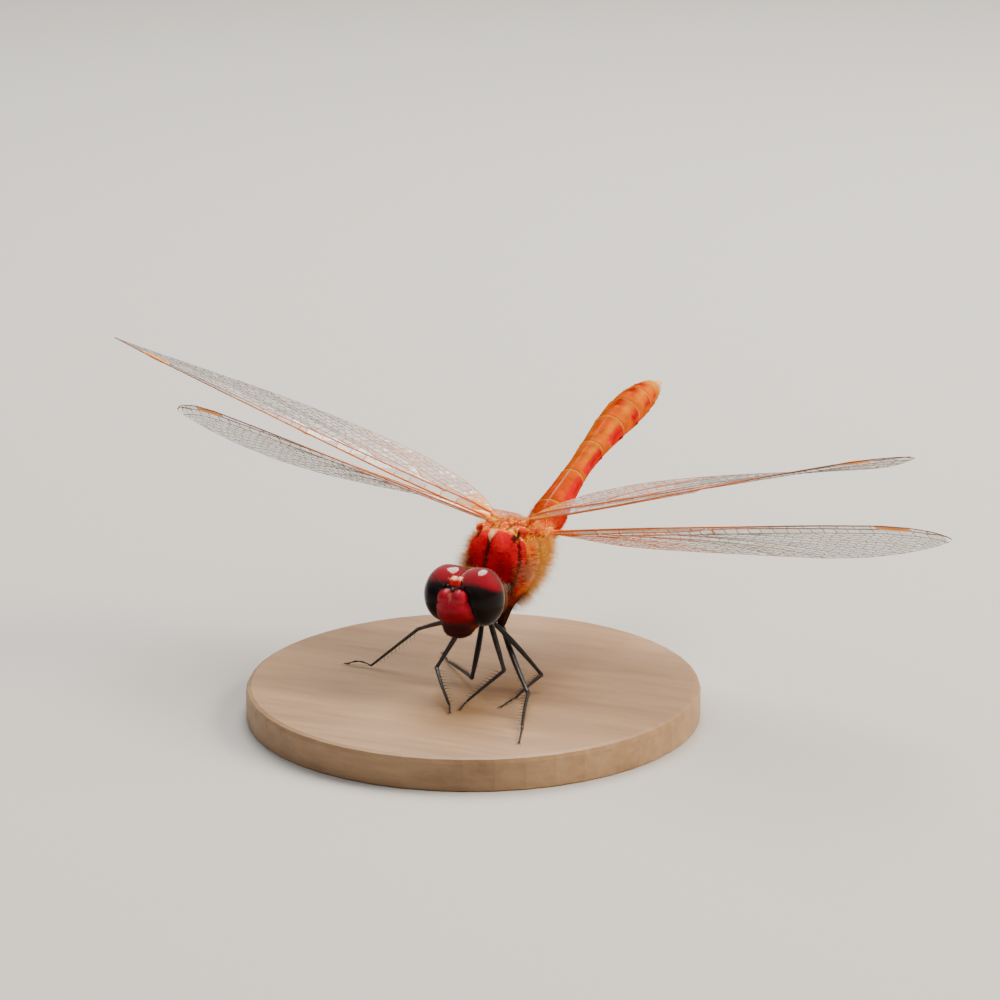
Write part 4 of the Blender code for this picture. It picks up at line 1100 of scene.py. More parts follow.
CELLS = {"subcosta": (1.75, 2.0), "radius": (1.15, 2.0), "radial_1": (0.85, 1.4), "radial_2": (0.62, 0.52), "between": (0.60, 0.52), "radial_3": (0.60, 0.55), "media": (0.62, 0.56), "media_back": (0.58, 0.54), "cubitus": (0.60, 0.60), "anal": (0.60, 0.56), "margin": (0.56, 0.52)}


def fine_edges(table):
    """The outline's table, rounded at its corners but not at its ends."""
    u = np.linspace(0, 1, 401)
    t = rows(table)
    v = np.interp(u, t[0], t[1])
    k = np.array([1, 2, 3, 4, 5, 4, 3, 2, 1.0])
    k /= k.sum()
    wide = np.concatenate([2 * v[0] - v[4:0:-1], v, 2 * v[-1] - v[-2:-6:-1]])
    return u, np.convolve(wide, k, "valid")


class Wing:
    def __init__(self, name, w):
        self.name, self.w, self.kind = name, w, w["kind"]
        self.length, self.side = w["length"], w["side"]
        self.lead = fine_edges(FORE_LEAD if self.kind == "fore" else HIND_LEAD)
        self.trail = fine_edges(FORE_TRAIL if self.kind == "fore" else HIND_TRAIL)
        s, d = math.radians(w["sweep"]), math.radians(w["rise"])
        self.span = np.array([self.side * math.cos(d) * math.cos(s), -math.sin(s) * math.cos(d), math.sin(d)])
        self.up = unit(np.array([0, 0, 1.0]) - self.span * self.span[2])
        self.back = unit(np.array([0, 1.0, 0]) - self.span * self.span[1])
        lift = np.cross(self.span, self.back)
        self.lift = lift if lift[2] > 0 else -lift
        self.veins = VEINS[self.kind]
        self.nodus = NODUS[self.kind]

    def margin(self, u):
        return np.interp(u, *self.lead) - np.interp(u, *self.trail)

    def off(self, j, u):
        """How far vein j is behind the leading edge, held at the margin."""
        if j >= len(self.veins):
            return self.margin(u)
        t = rows(self.veins[j][2])
        return np.minimum(np.interp(u, t[0], t[1]), self.margin(u))

    def start(self, j):
        return 0.0 if j >= len(self.veins) else self.veins[j][1]

    def front(self, j, u):
        """The nearest vein ahead of vein j at each u."""
        best = np.zeros_like(u)
        for i in range(j):
            best = np.where(u >= self.start(i), np.maximum(best, self.off(i, u)), best)
        return np.minimum(best, self.off(j, u))

    def height(self, u, off):
        """Height of the folded sheet at each place."""
        offs, hs = [], []
        for j, vein in enumerate(self.veins):
            here = np.where(u >= vein[1], self.off(j, u), -1.0)
            fade = np.clip((u - vein[1]) / 0.06 + (vein[1] == 0), 0, 1)
            # a vein that has not begun, or has reached the margin, has no fold
            gone = ramp(self.margin(u) - self.off(j, u), 0.0, 0.02)
            offs.append(here)
            fold = vein[3] + (0.05 - vein[3]) * (ramp(u, self.nodus, 0.80) if j == 2 else 0.0)
            if j == 1:  # where it has run into the leading edge it lies level with it
                fold = 0.05 + (fold - 0.05) * ramp(self.off(1, u), 0.0, 0.006)
            hs.append(fold * fade * np.where(j > 0, gone, 1.0) * (0.25 + 0.75 * (1 - u)) * ramp(u, -0.05, 0.08))
        offs.append(self.margin(u))
        hs.append(np.zeros_like(u))
        offs, hs = np.array(offs), np.array(hs)
        order = np.argsort(offs, axis=0)
        offs, hs = np.take_along_axis(offs, order, 0), np.take_along_axis(hs, order, 0)
        out = np.zeros_like(u)
        for i in range(len(offs) - 1):
            a, b = offs[i], offs[i + 1]
            inside = (off >= a) & (off <= b) & (a >= 0)
            f = np.clip((off - a) / np.maximum(b - a, 1e-6), 0, 1)
            out = np.where(inside, hs[i] * (1 - f) + hs[i + 1] * f, out)
        return out

    def point(self, u, off, raise_by=0.0):
        u, off = np.asarray(u, float), np.asarray(off, float)
        turn = np.radians(self.w["twist"][0] + self.w["twist"][1] * u)
        c, s = np.cos(turn)[..., None], np.sin(turn)[..., None]
        chord = self.back * c + self.lift * s
        normal = self.lift * c - self.back * s
        e = np.interp(u, *self.lead) - off
        h = self.height(u, off) + raise_by
        L = self.length
        return (np.array(self.w["base"]) + self.span * (L * u)[..., None] - self.up * (self.w["droop"] * L * u * u)[..., None]
                - chord * (L * e)[..., None] + normal * np.asarray(h)[..., None])

    def colour(self, u, strong=0.0):
        """Veins are orange out to the nodus and brown beyond it."""
        brown = np.array((0.105, 0.045, 0.022))
        orange = np.array((0.74, 0.17, 0.020))
        f = ramp(u, self.nodus * (0.45 + 0.55 * strong), self.nodus * (0.95 + 0.65 * strong))
        c = mix(np.tile(orange, (len(u), 1)), brown, f * (0.96 - 0.1 * strong))
        return mix(c, (0.80, 0.17, 0.014), 1 - ramp(u, 0.02, 0.14))


def seeds_of(wing, j, rng):
    """Cell centres of the strip in front of vein j, with their mirror
    images across the strip's two sides."""
    name = "margin" if j >= len(wing.veins) else wing.veins[j][0]
    along, across = CELLS[name]
    L = wing.length
    u = max(wing.start(j), 0.0)
    if name == "margin" and wing.kind == "fore":
        u = 0.0
    own, ghosts = [], []
    k = 0
    while True:
        u += along / L * rng.uniform(0.9, 1.1) * (1.0 if k else 0.5)
        if u > 0.992:
            break
        uu = np.array([u])
        a, b = float(wing.front(j, uu)[0]), float(wing.off(j, uu)[0])
        width = (b - a) * L
        if width < 0.12:
            k += 1
            continue
        if name == "subcosta" and u > wing.nodus - 0.01:
            break
        n = 1 if name in ("subcosta", "radius", "radial_1") else max(1, int(round(width / across)))
        slope_a = float((wing.front(j, uu + 0.004) - wing.front(j, uu - 0.004))[0]) / 0.008
        slope_b = float((wing.off(j, uu + 0.004) - wing.off(j, uu - 0.004))[0]) / 0.008
        for i in range(n):
            shift = (0.25 if i % 2 else -0.25) * along / L * (n > 1)
            y = a + (b - a) * (i + 0.5) / n
            jit = rng.uniform(-0.08, 0.08, 2) * min(along, width / n) * (n > 1)
            p = np.array([(u + shift) * L + jit[0], y * L + jit[1]])
            own.append(p)
            for edge, slope, use in ((a, slope_a, i == 0), (b, slope_b, i == n - 1)):
                if not use:
                    continue
                d = unit(np.array([1.0, slope]))
                o = np.array([u * L, edge * L])
                q = p - o
                ghosts.append(o + 2 * (q @ d) * d - q)
        k += 1
    return own, ghosts


def cells_of(own, ghosts, L):
    """The ring of corners round each centre."""
    if len(own) < 2:
        return []
    every = [Vector(p) for p in own] + [Vector(p) for p in ghosts]
    xs = [p[0] for p in own]
    ys = [p[1] for p in own]
    for x in (min(xs) - 1.2, max(xs) + 1.2):
        for y in np.linspace(min(ys) - 1, max(ys) + 1, 5):
            every.append(Vector((x, y)))
    tri = delaunay_2d_cdt(every, [], [], 0, 1e-7)
    vs, fs, ids = tri[0], tri[2], tri[3]
    around = {}
    for f in fs:
        a, b, c = (np.array(vs[i]) for i in f)
        d = 2 * (a[0] * (b[1] - c[1]) + b[0] * (c[1] - a[1]) + c[0] * (a[1] - b[1]))
        if abs(d) < 1e-9:
            continue
        ux = ((a @ a) * (b[1] - c[1]) + (b @ b) * (c[1] - a[1]) + (c @ c) * (a[1] - b[1])) / d
        uy = ((a @ a) * (c[0] - b[0]) + (b @ b) * (a[0] - c[0]) + (c @ c) * (b[0] - a[0])) / d
        for i in f:
            around.setdefault(i, []).append((ux, uy))
    rings = []
    for i, orig in enumerate(ids):
        if not orig or min(orig) >= len(own) or i not in around:
            continue
        c = np.array(own[min(orig)])
        pts = np.array(around[i])
        angle = np.arctan2(pts[:, 1] - c[1], pts[:, 0] - c[0])
        pts = pts[np.argsort(angle)]
        keep = [0]
        for k in range(1, len(pts)):
            if np.linalg.norm(pts[k] - pts[keep[-1]]) > 0.012:
                keep.append(k)
        if len(keep) > 2 and np.linalg.norm(pts[keep[0]] - pts[keep[-1]]) <= 0.012:
            keep.pop()
        if len(keep) >= 3:
            rings.append((c, pts[keep]))
    return rings


def build_wing(name, w):
    wing = Wing(name, w)
    L = wing.length
    rng = np.random.default_rng(sum(map(ord, name)))
    film, net = Build(), Build()
    lines_a, lines_b, radii = [], [], []
    n_veins = len(wing.veins)
    for j in range(1, n_veins + 1):
        own, ghosts = seeds_of(wing, j, rng)
        for c, ring in cells_of(own, ghosts, L):
            # held inside the strip
            u = np.clip(ring[:, 0] / L, max(wing.start(j), 0.0), 0.999)
            lo, hi = wing.front(j, u), wing.off(j, u)
            off = np.clip(ring[:, 1] / L, lo, hi)
            k = len(u)
            cu, co = u.mean(), off.mean()
            if (hi - lo).max() * L < 0.05:
                continue
            # film: a thin closed plate, its middle a little raised or sunk
            rise = 0.030 * float(lumps(np.array([[cu * L, co * L, 0.0]]), 4.0, 61)[0]) + rng.normal(0, 0.014)
            uu, oo = np.append(u, cu), np.append(off, co)
            lift = np.append(np.zeros(k), rise)
            top = wing.point(uu, oo, lift + 0.006)
            low = wing.point(uu, oo, lift - 0.006)
            i = np.arange(k)
            nx = (i + 1) % k
            fan = np.stack([i, nx, np.full(k, k)], 1)
            under = np.stack([nx, i, np.full(k, k)], 1) + k + 1
            wall = np.stack([nx, i, i + k + 1, nx + k + 1], 1)
            if wing.side > 0:
                fan, under, wall = fan[:, ::-1], under[:, ::-1], wall[:, ::-1]
            amber = (1 - ramp(cu, 0.032, 0.100)) * (1 - ramp(co, 0.08, 0.14))
            grey = rng.uniform(0.40, 0.62)
            tint = mix(np.array([grey, grey * 0.97, grey * 0.91]), (0.80, 0.32, 0.022), amber)
            alpha = 0.16 + 0.50 * amber + 0.12 * (rng.random() > 0.9)
            film.add(np.concatenate([top, low]), [np.concatenate([fan, under]), wall], np.append(tint, alpha))
            # cross veins: sides that lie inside the strip
            for a in range(k):
                b = (a + 1) % k
                ea = min(off[a] - lo[a], hi[a] - off[a]) * L
                eb = min(off[b] - lo[b], hi[b] - off[b]) * L
                if ea < 0.03 and eb < 0.03 and not (off[a] - lo[a] < 0.03 / L) ^ (off[b] - lo[b] < 0.03 / L):
                    continue
                if (u[a], off[a]) > (u[b], off[b]):
                    continue
                lines_a.append((u[a], off[a]))
                lines_b.append((u[b], off[b]))
                radii.append(0.028 if j <= 3 else 0.020)
    a, b, r = np.array(lines_a), np.array(lines_b), np.array(radii)
    r = r * (1.15 - 0.45 * a[:, 0])
    pa, pb = wing.point(a[:, 0], a[:, 1]), wing.point(b[:, 0], b[:, 1])
    v, blocks = rods(pa, pb, r, r, 5)
    shade = wing.colour(np.repeat((a[:, 0] + b[:, 0]) / 2, 10))
    net.add(v, blocks, shade)
    # long veins, and the rear margin
    for j in range(n_veins + 1):
        start = wing.start(j)
        n = 130 if j in (0, n_veins) else 90
        if j == n_veins:
            thick = 0.024
        else:
            thick = wing.veins[j][4]
        u = start + (0.999 - start) * np.linspace(0, 1, n)
        off = wing.off(j, u)
        if 0 < j < n_veins:
            out = (wing.margin(u) - off < 1e-4) & (u > 0.1)
            gone = int(np.argmax(out)) if out.any() else n
            if j == 1:
                gone = int(np.argmax(off < 1e-4)) + 1
            u, off = u[:gone + 1], off[:gone + 1]
        radius = thick * (1 - 0.55 * u) * (1 + 0.6 * (1 - ramp(u, 0.0, 0.05)) * (j < 3))
        if j == 0:
            u, off = np.append(u, 0.9995), np.append(off, 0.0)
            radius = np.append(radius, radius[-1])
        v, blocks = tube(wing.point(u, off), radius, 6)
        shade = np.concatenate([np.repeat(wing.colour(u, 1.0 if j < 3 else 0.2), 6, axis=0), wing.colour(np.array([u[0], u[-1]]))])
        net.add(v, blocks, shade)
    # closing vein at the tip, the nodus with a short cross vein behind it, and the arculus
    extra = []
    tip = np.linspace(0, 1, 14)
    extra.append((0.999 + 0 * tip, tip * wing.margin(np.array([0.999]))[0], 0.020))
    n0 = wing.nodus
    rad = wing.off(2, np.array([n0]))[0]
    extra.append((np.full(5, n0), np.linspace(0, rad, 5), 0.060))
    rad1 = wing.off(3, np.array([n0]))[0]
    extra.append((np.linspace(n0, n0 + 0.006, 5), np.linspace(rad, rad1, 5), 0.040))
    au = wing.start(3)
    cu = wing.off(n_veins - (2 if wing.kind == "hind" else 1), np.array([au]))[0]
    extra.append((np.full(6, au), np.linspace(wing.off(2, np.array([au]))[0], cu, 6), 0.036))
    for u, off, r in extra:
        v, blocks = tube(wing.point(u, off), r, 6)
        net.add(v, blocks, np.repeat(wing.colour(np.array([u.mean()]), 1.0), len(v), axis=0))
    # small teeth along the leading edge
    u = np.linspace(0.04, 0.93, 70)
    root = wing.point(u, 0 * u)
    ahead = unit(wing.point(u, 0 * u) - wing.point(u, 0 * u + 0.02))
    out = unit(ahead + 0.5 * wing.span)
    v, blocks, _ = spikes(root, out, 0.13, 0.022, 0.0)
    net.add(v, blocks, np.repeat(wing.colour(u, 1.0), 7, axis=0) * 0.8)
    # pterostigma: a filled cell between costa and radius
    u = np.linspace(0.838, 0.916, 16)
    inner = wing.off(2, u)
    s = np.linspace(0, 1, 6)
    uu = np.repeat(u, 6) + np.tile((s - 0.5) * 0.006, 16)
    oo = np.repeat(inner, 6) * np.tile(s, 16)
    puff = 0.11 * np.sin(np.pi * np.tile(np.clip(s, 0.04, 0.96), 16)) ** 0.5 * np.repeat(np.sin(np.pi * np.clip(np.linspace(0, 1, 16), 0.03, 0.97)) ** 0.4, 6)
    top, low = wing.point(uu, oo, puff), wing.point(uu, oo, -puff)
    i, k = np.meshgrid(np.arange(15), np.arange(5), indexing="ij")
    q = np.stack([i * 6 + k, (i + 1) * 6 + k, (i + 1) * 6 + k + 1, i * 6 + k + 1], -1).reshape(-1, 4)
    n = len(uu)
    rim = np.concatenate([np.arange(0, 6), np.arange(11, 96, 6), np.arange(94, 89, -1), np.arange(84, 0, -6)])
    rn = np.roll(rim, -1)
    wall = np.stack([rim, rn, rn + n, rim + n], 1)
    faces = np.concatenate([q[:, ::-1], q + n, wall])
    if wing.side > 0:
        faces = faces[:, ::-1]
    mark = Build()
    shade = mix(np.tile((0.62, 0.13, 0.004), (2 * n, 1)), (0.80, 0.27, 0.012), 0.4 + 0.4 * np.tile(np.sin(np.pi * np.tile(s, 16)), 2))
    mark.add(np.concatenate([top, low]), [faces], shade)
    mark.piece(name + "_stigma", STIGMA, slot="wing_membrane")
    net.piece(name + "_veins", VEIN, slot="wing_membrane")
    film.piece(name + "_film", MEMBRANE, slot="wing_membrane", replaces=(name,), smooth=False)
    return wing


WING_SET = {name: build_wing(name, w) for name, w in WINGS.items()}


# -------------------------------------------------------------------- legs
def build_leg(name, joints):
    pair = name.split("_")[0]
    hip, knee, ankle, toe = (np.array(p, float) for p in joints)
    rng = np.random.default_rng(sum(map(ord, name)))
    ankle = np.array([ankle[0], ankle[1], FLOOR_Z + 0.17])
    toe = np.array([toe[0], toe[1], FLOOR_Z + 0.075])
    made = Build()
    bow = hip + 0.28 * (knee - hip) + [0, 0, HIP_BOW[pair]]
    # hip ring, then thigh
    v, b = ellipsoid(hip + 0.12 * unit(hip - bow), (0.26, 0.26, 0.26), 16, 10)
    made.add(v, b, (0.02, 0.010, 0.008))
    s = np.linspace(0, 1, 30)
    curve = ((1 - s)[:, None] ** 2 * hip + 2 * (s * (1 - s))[:, None] * (hip + (bow - hip) * 1.35) + s[:, None] ** 2 * knee)
    wide = 0.155 + 0.055 * np.sin(np.pi * np.clip(s * 1.1, 0, 1)) ** 0.8 - 0.02 * s
    wide[-3:] += (0.0, 0.012, 0.018)
    v, b = tube(curve, wide, 12, 0.86)
    tone = mix(np.tile((0.014, 0.012, 0.012), (len(v), 1)), (0.07, 0.022, 0.010), 0.35 * ramp(lumps(v, 1.2, 51), 0.2, 0.8))
    made.add(v, b, tone)
    # shin
    shin = knee + np.outer(np.linspace(0, 1, 26), ankle - knee)
    t, side, other = frames_along(shin)
    shin += side * (0.05 * np.sin(np.pi * np.linspace(0, 1, 26)))[:, None]
    v, b = tube(shin, 0.135 - 0.045 * np.linspace(0, 1, 26) + 0.02 * (np.linspace(0, 1, 26) < 0.04), 10, 0.9)
    made.add(v, b, (0.014, 0.012, 0.012))
    # foot: three joints, dipping between, and two claws
    foot = ankle + np.outer(np.linspace(0, 1, 22), toe - ankle)
    sag = (0.24 if name == "mid_right" else 0.035) * np.sin(np.pi * np.linspace(0, 1, 22))
    foot[:, 2] += sag
    s = np.linspace(0, 1, 22)
    wave = 0.062 + 0.014 * np.cos(2 * np.pi * np.clip(s, 0, 1) * 3) - 0.010 * s
    v, b = tube(foot, wave, 8)
    made.add(v, b, (0.014, 0.012, 0.012))
    ahead = unit((toe - ankle) * [1, 1, 0])
    lateral = np.array([-ahead[1], ahead[0], 0])
    for k in (-1, 1):
        s = np.linspace(0, 1, 8)
        claw = toe + np.outer(s * 0.30, ahead) + np.outer(s * 0.13 * k, lateral) + np.outer(0.05 * np.sin(np.pi * s) - 0.045 * s, [0, 0, 1.0])
        v, b = tube(claw, 0.030 * (1 - s) + 0.008, 6)
        made.add(v, b, (0.05, 0.022, 0.012))
    # spines: two rows under the shin, short ones on the thigh, fine ones below the foot
    down = np.array([0, 0, -1.0])
    axis = unit(ankle - knee)
    outer = unit(np.cross(axis, unit(knee - hip)))
    inward = np.cross(outer, axis)
    if inward @ (hip - (knee + ankle) / 2) < 0:
        inward = -inward
    roots, ways, lens, rads = [], [], [], []
    n = 11
    for row in (-1, 1):
        for k in range(n):
            f = 0.07 + 0.88 * (k + 0.25 * (row > 0)) / n
            at = knee + (ankle - knee) * f
            way = unit(inward * 0.75 + row * outer * 0.55 + axis * 0.62)
            roots.append(at + 0.08 * unit(inward + row * outer * 0.7))
            ways.append(way)
            lens.append((0.62 - 0.30 * f) * rng.uniform(0.85, 1.1))
            rads.append(0.020)
    for k in range(12):
        f = 0.2 + 0.75 * k / 12
        at = curve[int(f * 29)]
        tv = unit(curve[min(29, int(f * 29) + 1)] - curve[int(f * 29) - 1])
        for row in (-1, 1):
            way = unit(inward * 0.2 + row * outer + tv * 0.7)
            roots.append(at + 0.14 * row * outer)
            ways.append(way)
            lens.append(rng.uniform(0.13, 0.24))
            rads.append(0.014)
    for k in range(14):
        f = 0.1 + 0.85 * k / 14
        at = ankle + (toe - ankle) * f
        for row in (-1, 1):
            roots.append(at + [0, 0, 0.0])
            ways.append(unit(ahead * 0.7 + row * lateral * 0.8 + [0, 0, -0.25]))
            lens.append(0.12)
            rads.append(0.011)
    v, b, _ = spikes(roots, ways, lens, rads, 0.0, 4)
    made.add(v, b, (0.016, 0.012, 0.010))
    made.piece("leg_" + name, LEG, slot="leg_black", replaces=("leg_" + name + "_femur", "leg_" + name + "_tibia", "leg_" + name + "_tarsus"))
    return curve


THIGHS = {name: build_leg(name, joints) for name, joints in LEGS.items()}


# -------------------------------------------------- appendages at the tail
end, along, across, up = AB_LINE[-1], AB_ALONG[-1], AB_ACROSS[-1], AB_UP[-1]
for name, side in (("cercus_right", -1), ("cercus_left", 1)):
    made = Build()
    s = np.linspace(0, 1, 16)
    line = end + np.outer(s * 1.45 - 0.12, along) + np.outer(side * (0.20 + 0.10 * np.sin(np.pi * s) - 0.03 * s), across) + np.outer(0.14 + 0.10 * np.sin(np.pi * s * 0.9) - 0.02 * s, up)
    wide = 0.20 * np.sin(np.pi * (0.30 + 0.45 * s)) ** 0.8 * (1 - ramp(s, 0.7, 1.0) * 0.6)
    v, b = tube(line, wide, 12)
    tone = mix(np.tile((0.80, 0.42, 0.18), (len(v), 1)), (0.60, 0.22, 0.09), np.append(np.repeat(ramp(s, 0.8, 1.0), 12), [0, 1]) * 0.6)
    made.add(v, b, np.column_stack([tone, np.full(len(v), 0.15)]))
    made.piece(name + "_hook", SKIN, slot="abdomen_orange_red", replaces=(name,))
made = Build()
s = np.linspace(0, 1, 12)
line = end + np.outer(s * 0.78 - 0.12, along) + np.outer(-0.16 + 0.10 * s, up)
v, b = tube(line, 0.20 * (1 - 0.62 * s), 14, 0.55)
made.add(v, b, (0.62, 0.24, 0.07, 0.15))
made.piece("tail_plate", SKIN, slot="abdomen_orange_red")


# -------------------------------------------------------------------- fuzz
def sample_skin(mask, count, rng):
    """Random places on the skin's faces where the mask holds."""
    normal, area = face_normals(skin_points, skin_faces)
    centre = skin_points[skin_faces].mean(1)
    weight = area * mask(centre, normal)
    pick = rng.choice(len(centre), count, p=weight / weight.sum())
    r = rng.random((count, 2))
    a, b, c, d = (skin_points[skin_faces[pick, k]] for k in range(4))
    p = (a * (1 - r[:, :1]) + b * r[:, :1]) * (1 - r[:, 1:]) + (d * (1 - r[:, :1]) + c * r[:, :1]) * r[:, 1:]
    return p, normal[pick]


def unwrap_thorax(p):
    return np.stack([np.arctan2(p[:, 0], -(p[:, 1] + 0.2)) / (2 * math.pi) + 0.5, (p[:, 2] + 6.8) / 7.6], 1)


def unwrap_abdomen(p):
    t, x, z = abdomen_place(p)
    return np.stack([np.arctan2(z, x) / (2 * math.pi) + 0.5, np.clip(t, 0, 1)], 1)


def unwrap_head(p):
    q = to_head(p)
    return np.stack([np.arctan2(q[:, 0], -q[:, 1]) / (2 * math.pi) + 0.5, (q[:, 2] + 2.7) / 5.2], 1)


def add_fuzz(name, roots, ways, lengths, radius, unwrap, gild, slot, seed, bend=None, tone=(1.0, 0.56, 0.14)):
    rng = np.random.default_rng(seed)
    n = len(roots)
    bend = rng.normal(0, 0.16, (n, 3)) if bend is None else bend
    v, blocks, uvs = spikes(roots - unit(ways) * 0.03, ways, lengths, radius * rng.uniform(0.8, 1.2, n), bend)
    base = body_tint(roots)
    root_c = mix(base, tone, gild * 0.45)
    tip_c = mix(base, tone, gild)
    tints = np.stack([root_c] * 3 + [mix(root_c, tip_c, np.full(n, 0.6))] * 3 + [tip_c], 1).reshape(-1, 3)
    place_uv = np.clip(unwrap(roots), 0.0, 1.0) * 0.99 + 0.003
    uv = np.concatenate([(place_uv[:, None] + 0.003 * u.reshape(n, -1, 2)).reshape(-1, 2) for u in uvs])
    add_piece(name, v, blocks, FUZZ, slot=slot, uv=uv, tint=np.clip(tints, 0, 1))


rng = np.random.default_rng(77)
few = 1.0


def thorax_mask(c, n):
    on = (c[:, 1] > -3.9) & (c[:, 1] < 4.2) & (c[:, 2] > -5.6)
    front = (c[:, 1] < -1.2) & (thorax_angle(c) < 50)
    low = ramp(-c[:, 2], 4.6, 5.4)
    joint = (np.abs(c[:, 0]) > 1.15) & (c[:, 2] > -1.25 - 0.25 * c[:, 1]) & (c[:, 1] > -1.6)
    back = (np.abs(c[:, 0]) < 1.4) & (c[:, 1] > -1.5) & (c[:, 2] > -1.6)
    return on * np.where(front, 0.40, 1.0) * (1 - 0.7 * low) * np.where(joint, 0.18, 1.0) * np.where(back, 0.42, 1.0) * np.where(np.abs(thorax_angle(c) - 65) < 9, 0.5, 1.0)


count = int(12000 * few)
p, n = sample_skin(thorax_mask, count, rng)
lay = np.array([0, -0.12, 0.28]) + 0.0 * p
a = thorax_angle(p)
stand = unit(n + 0.55 * lay + rng.normal(0, 0.22, p.shape))
plate = (1 - ramp(a, 54, 60)) * (p[:, 1] < -1.2)
side = ramp(a, 58, 85) * ramp(-p[:, 2], 1.2, 2.2)
length = (0.36 + 0.24 * rng.random(count) + 0.14 * ramp(a, 60, 110) + (0.10 + 0.42 * rng.random(count) ** 2) * side) * (1 - 0.45 * plate * ramp(p[:, 2], -3.6, -2.2))
gild = np.clip(0.78 - 0.62 * plate - 0.70 * bell(a, 66, 8.0) * ramp(-p[:, 2], 1.2, 1.7), 0, 0.9) * np.where((np.abs(p[:, 0]) < 1.4) & (p[:, 1] > -1.5) & (p[:, 2] > -1.5), 0.65, 1.0)
top = (np.abs(p[:, 0]) < 1.5) & (p[:, 1] > -1.5) & (p[:, 2] > -1.5)
length *= np.where(top, 0.72 - 0.32 * ramp(p[:, 1], 0.0, 1.6), 1.0)
low = (a < 46) * ramp(-p[:, 2], 2.7, 3.5)
tone = mix(mix(np.tile((1.0, 0.58, 0.12), (count, 1)), (0.90, 0.46, 0.12), 0.9 * top), (0.30, 0.10, 0.03), 0.8 * low)
tone = mix(tone, (0.78, 0.09, 0.012), 0.8 * bell(a, 60, 12) * ramp(-p[:, 2], 2.4, 3.0))
hatch = bell(a, 67, 10) * ramp(-p[:, 2], 1.2, 1.7) * (1 - ramp(-p[:, 2], 3.4, 4.0)) * (rng.random(count) < 0.6)
tone = mix(tone, (0.15, 0.018, 0.006), np.clip(1.3 * hatch, 0, 0.95))
gild = np.maximum(gild, 0.85 * hatch)
half = p[:, 0] < 0
for part, side in (("right", half), ("left", ~half)):
    add_fuzz("fuzz_thorax_" + part, p[side], stand[side], length[side], 0.0070, unwrap_thorax, gild[side], "body_red", 5 + len(part), tone=tone[side])

# collar of long pale hair behind the head
count = int(1700 * few)


def collar_mask(c, n):
    near = (c[:, 1] > -4.6) & (c[:, 2] > -4.4)
    return near * np.where(np.abs(c[:, 0]) < 1.5, c[:, 1] < -3.45, c[:, 1] < -2.6) * (thorax_angle(c) < 75)


p, n = sample_skin(collar_mask, count, rng)
outside = ramp(np.abs(p[:, 0]), 1.2, 1.8) * np.where(p[:, 0] < 0, 1.0, 0.35)
stand = unit(n + np.array([0, -0.1, 0.5]) + 0.5 * outside[:, None] * [0, -0.2, -0.4] + rng.normal(0, 0.2, p.shape))
tone = mix(np.tile((0.34, 0.13, 0.05), (count, 1)), (0.95, 0.62, 0.30), outside)
add_fuzz("fuzz_collar", p, stand, 0.34 + 0.22 * rng.random(count) + 0.40 * outside * rng.random(count), 0.0075, unwrap_thorax, np.full(count, 0.85), "body_red", 31, tone=tone)

# long hair low on each side of the thorax, ahead of the legs
count = int(900 * few)
p, n = sample_skin(lambda c, m: np.exp(-np.sum(((np.abs(c * [1, 0, 0]) + c * [0, 1, 1] - [2.15, -2.05, -2.95]) / [0.6, 0.7, 0.75]) ** 2, axis=1)) + 1e-9, count, rng)
way = np.sign(p[:, :1]) * np.array([0.9, 0, 0]) + np.array([0, -0.25, 0.35])
add_fuzz("fuzz_flanks", p, unit(0.6 * n + way + rng.normal(0, 0.22, p.shape)), 0.55 + 0.50 * rng.random(count), 0.0065, unwrap_thorax, np.full(count, 0.9), "body_red", 36, tone=(0.95, 0.68, 0.38))

# a pale tuft above each fore hip
count = int(420 * few)
p, n = sample_skin(lambda c, m: np.exp(-np.sum((np.abs(c * [1, 0, 0]) + c * [0, 1, 1] - [1.30, -3.30, -3.72]) ** 2, axis=1) / 0.06) + 1e-9, count, rng)
add_fuzz("fuzz_hips", p, unit(n + [0, -0.5, 0.3] + rng.normal(0, 0.2, p.shape)), 0.40 + 0.15 * rng.random(count), 0.0080, unwrap_thorax, np.full(count, 0.9), "body_red", 35, tone=(0.86, 0.78, 0.66))

# short hair on the abdomen, longer at its base
count = int(6500 * few)
p, n = sample_skin(lambda c, m: (c[:, 1] > 4.2) * (0.6 + 1.8 * (c[:, 1] < 7.5)), count, rng)
t, _, _ = abdomen_place(p)
stand = unit(n * 0.75 + AB_ALONG[100] * 0.75 + rng.normal(0, 0.15, p.shape))
add_fuzz("fuzz_abdomen", p, stand, (0.13 + 0.24 * (1 - ramp(t, 0.0, 0.14))) * rng.uniform(0.7, 1.2, count), 0.0055, unwrap_abdomen, np.full(count, 0.22), "abdomen_orange_red", 32, tone=(0.74, 0.20, 0.012))

# face and back of the head: the smallest
count = int(1500 * few)


def face_mask(c, n):
    q = to_head(c)
    return (q[:, 1] < -0.4) & (np.abs(q[:, 0]) < 1.5) & (q[:, 2] < 1.9)


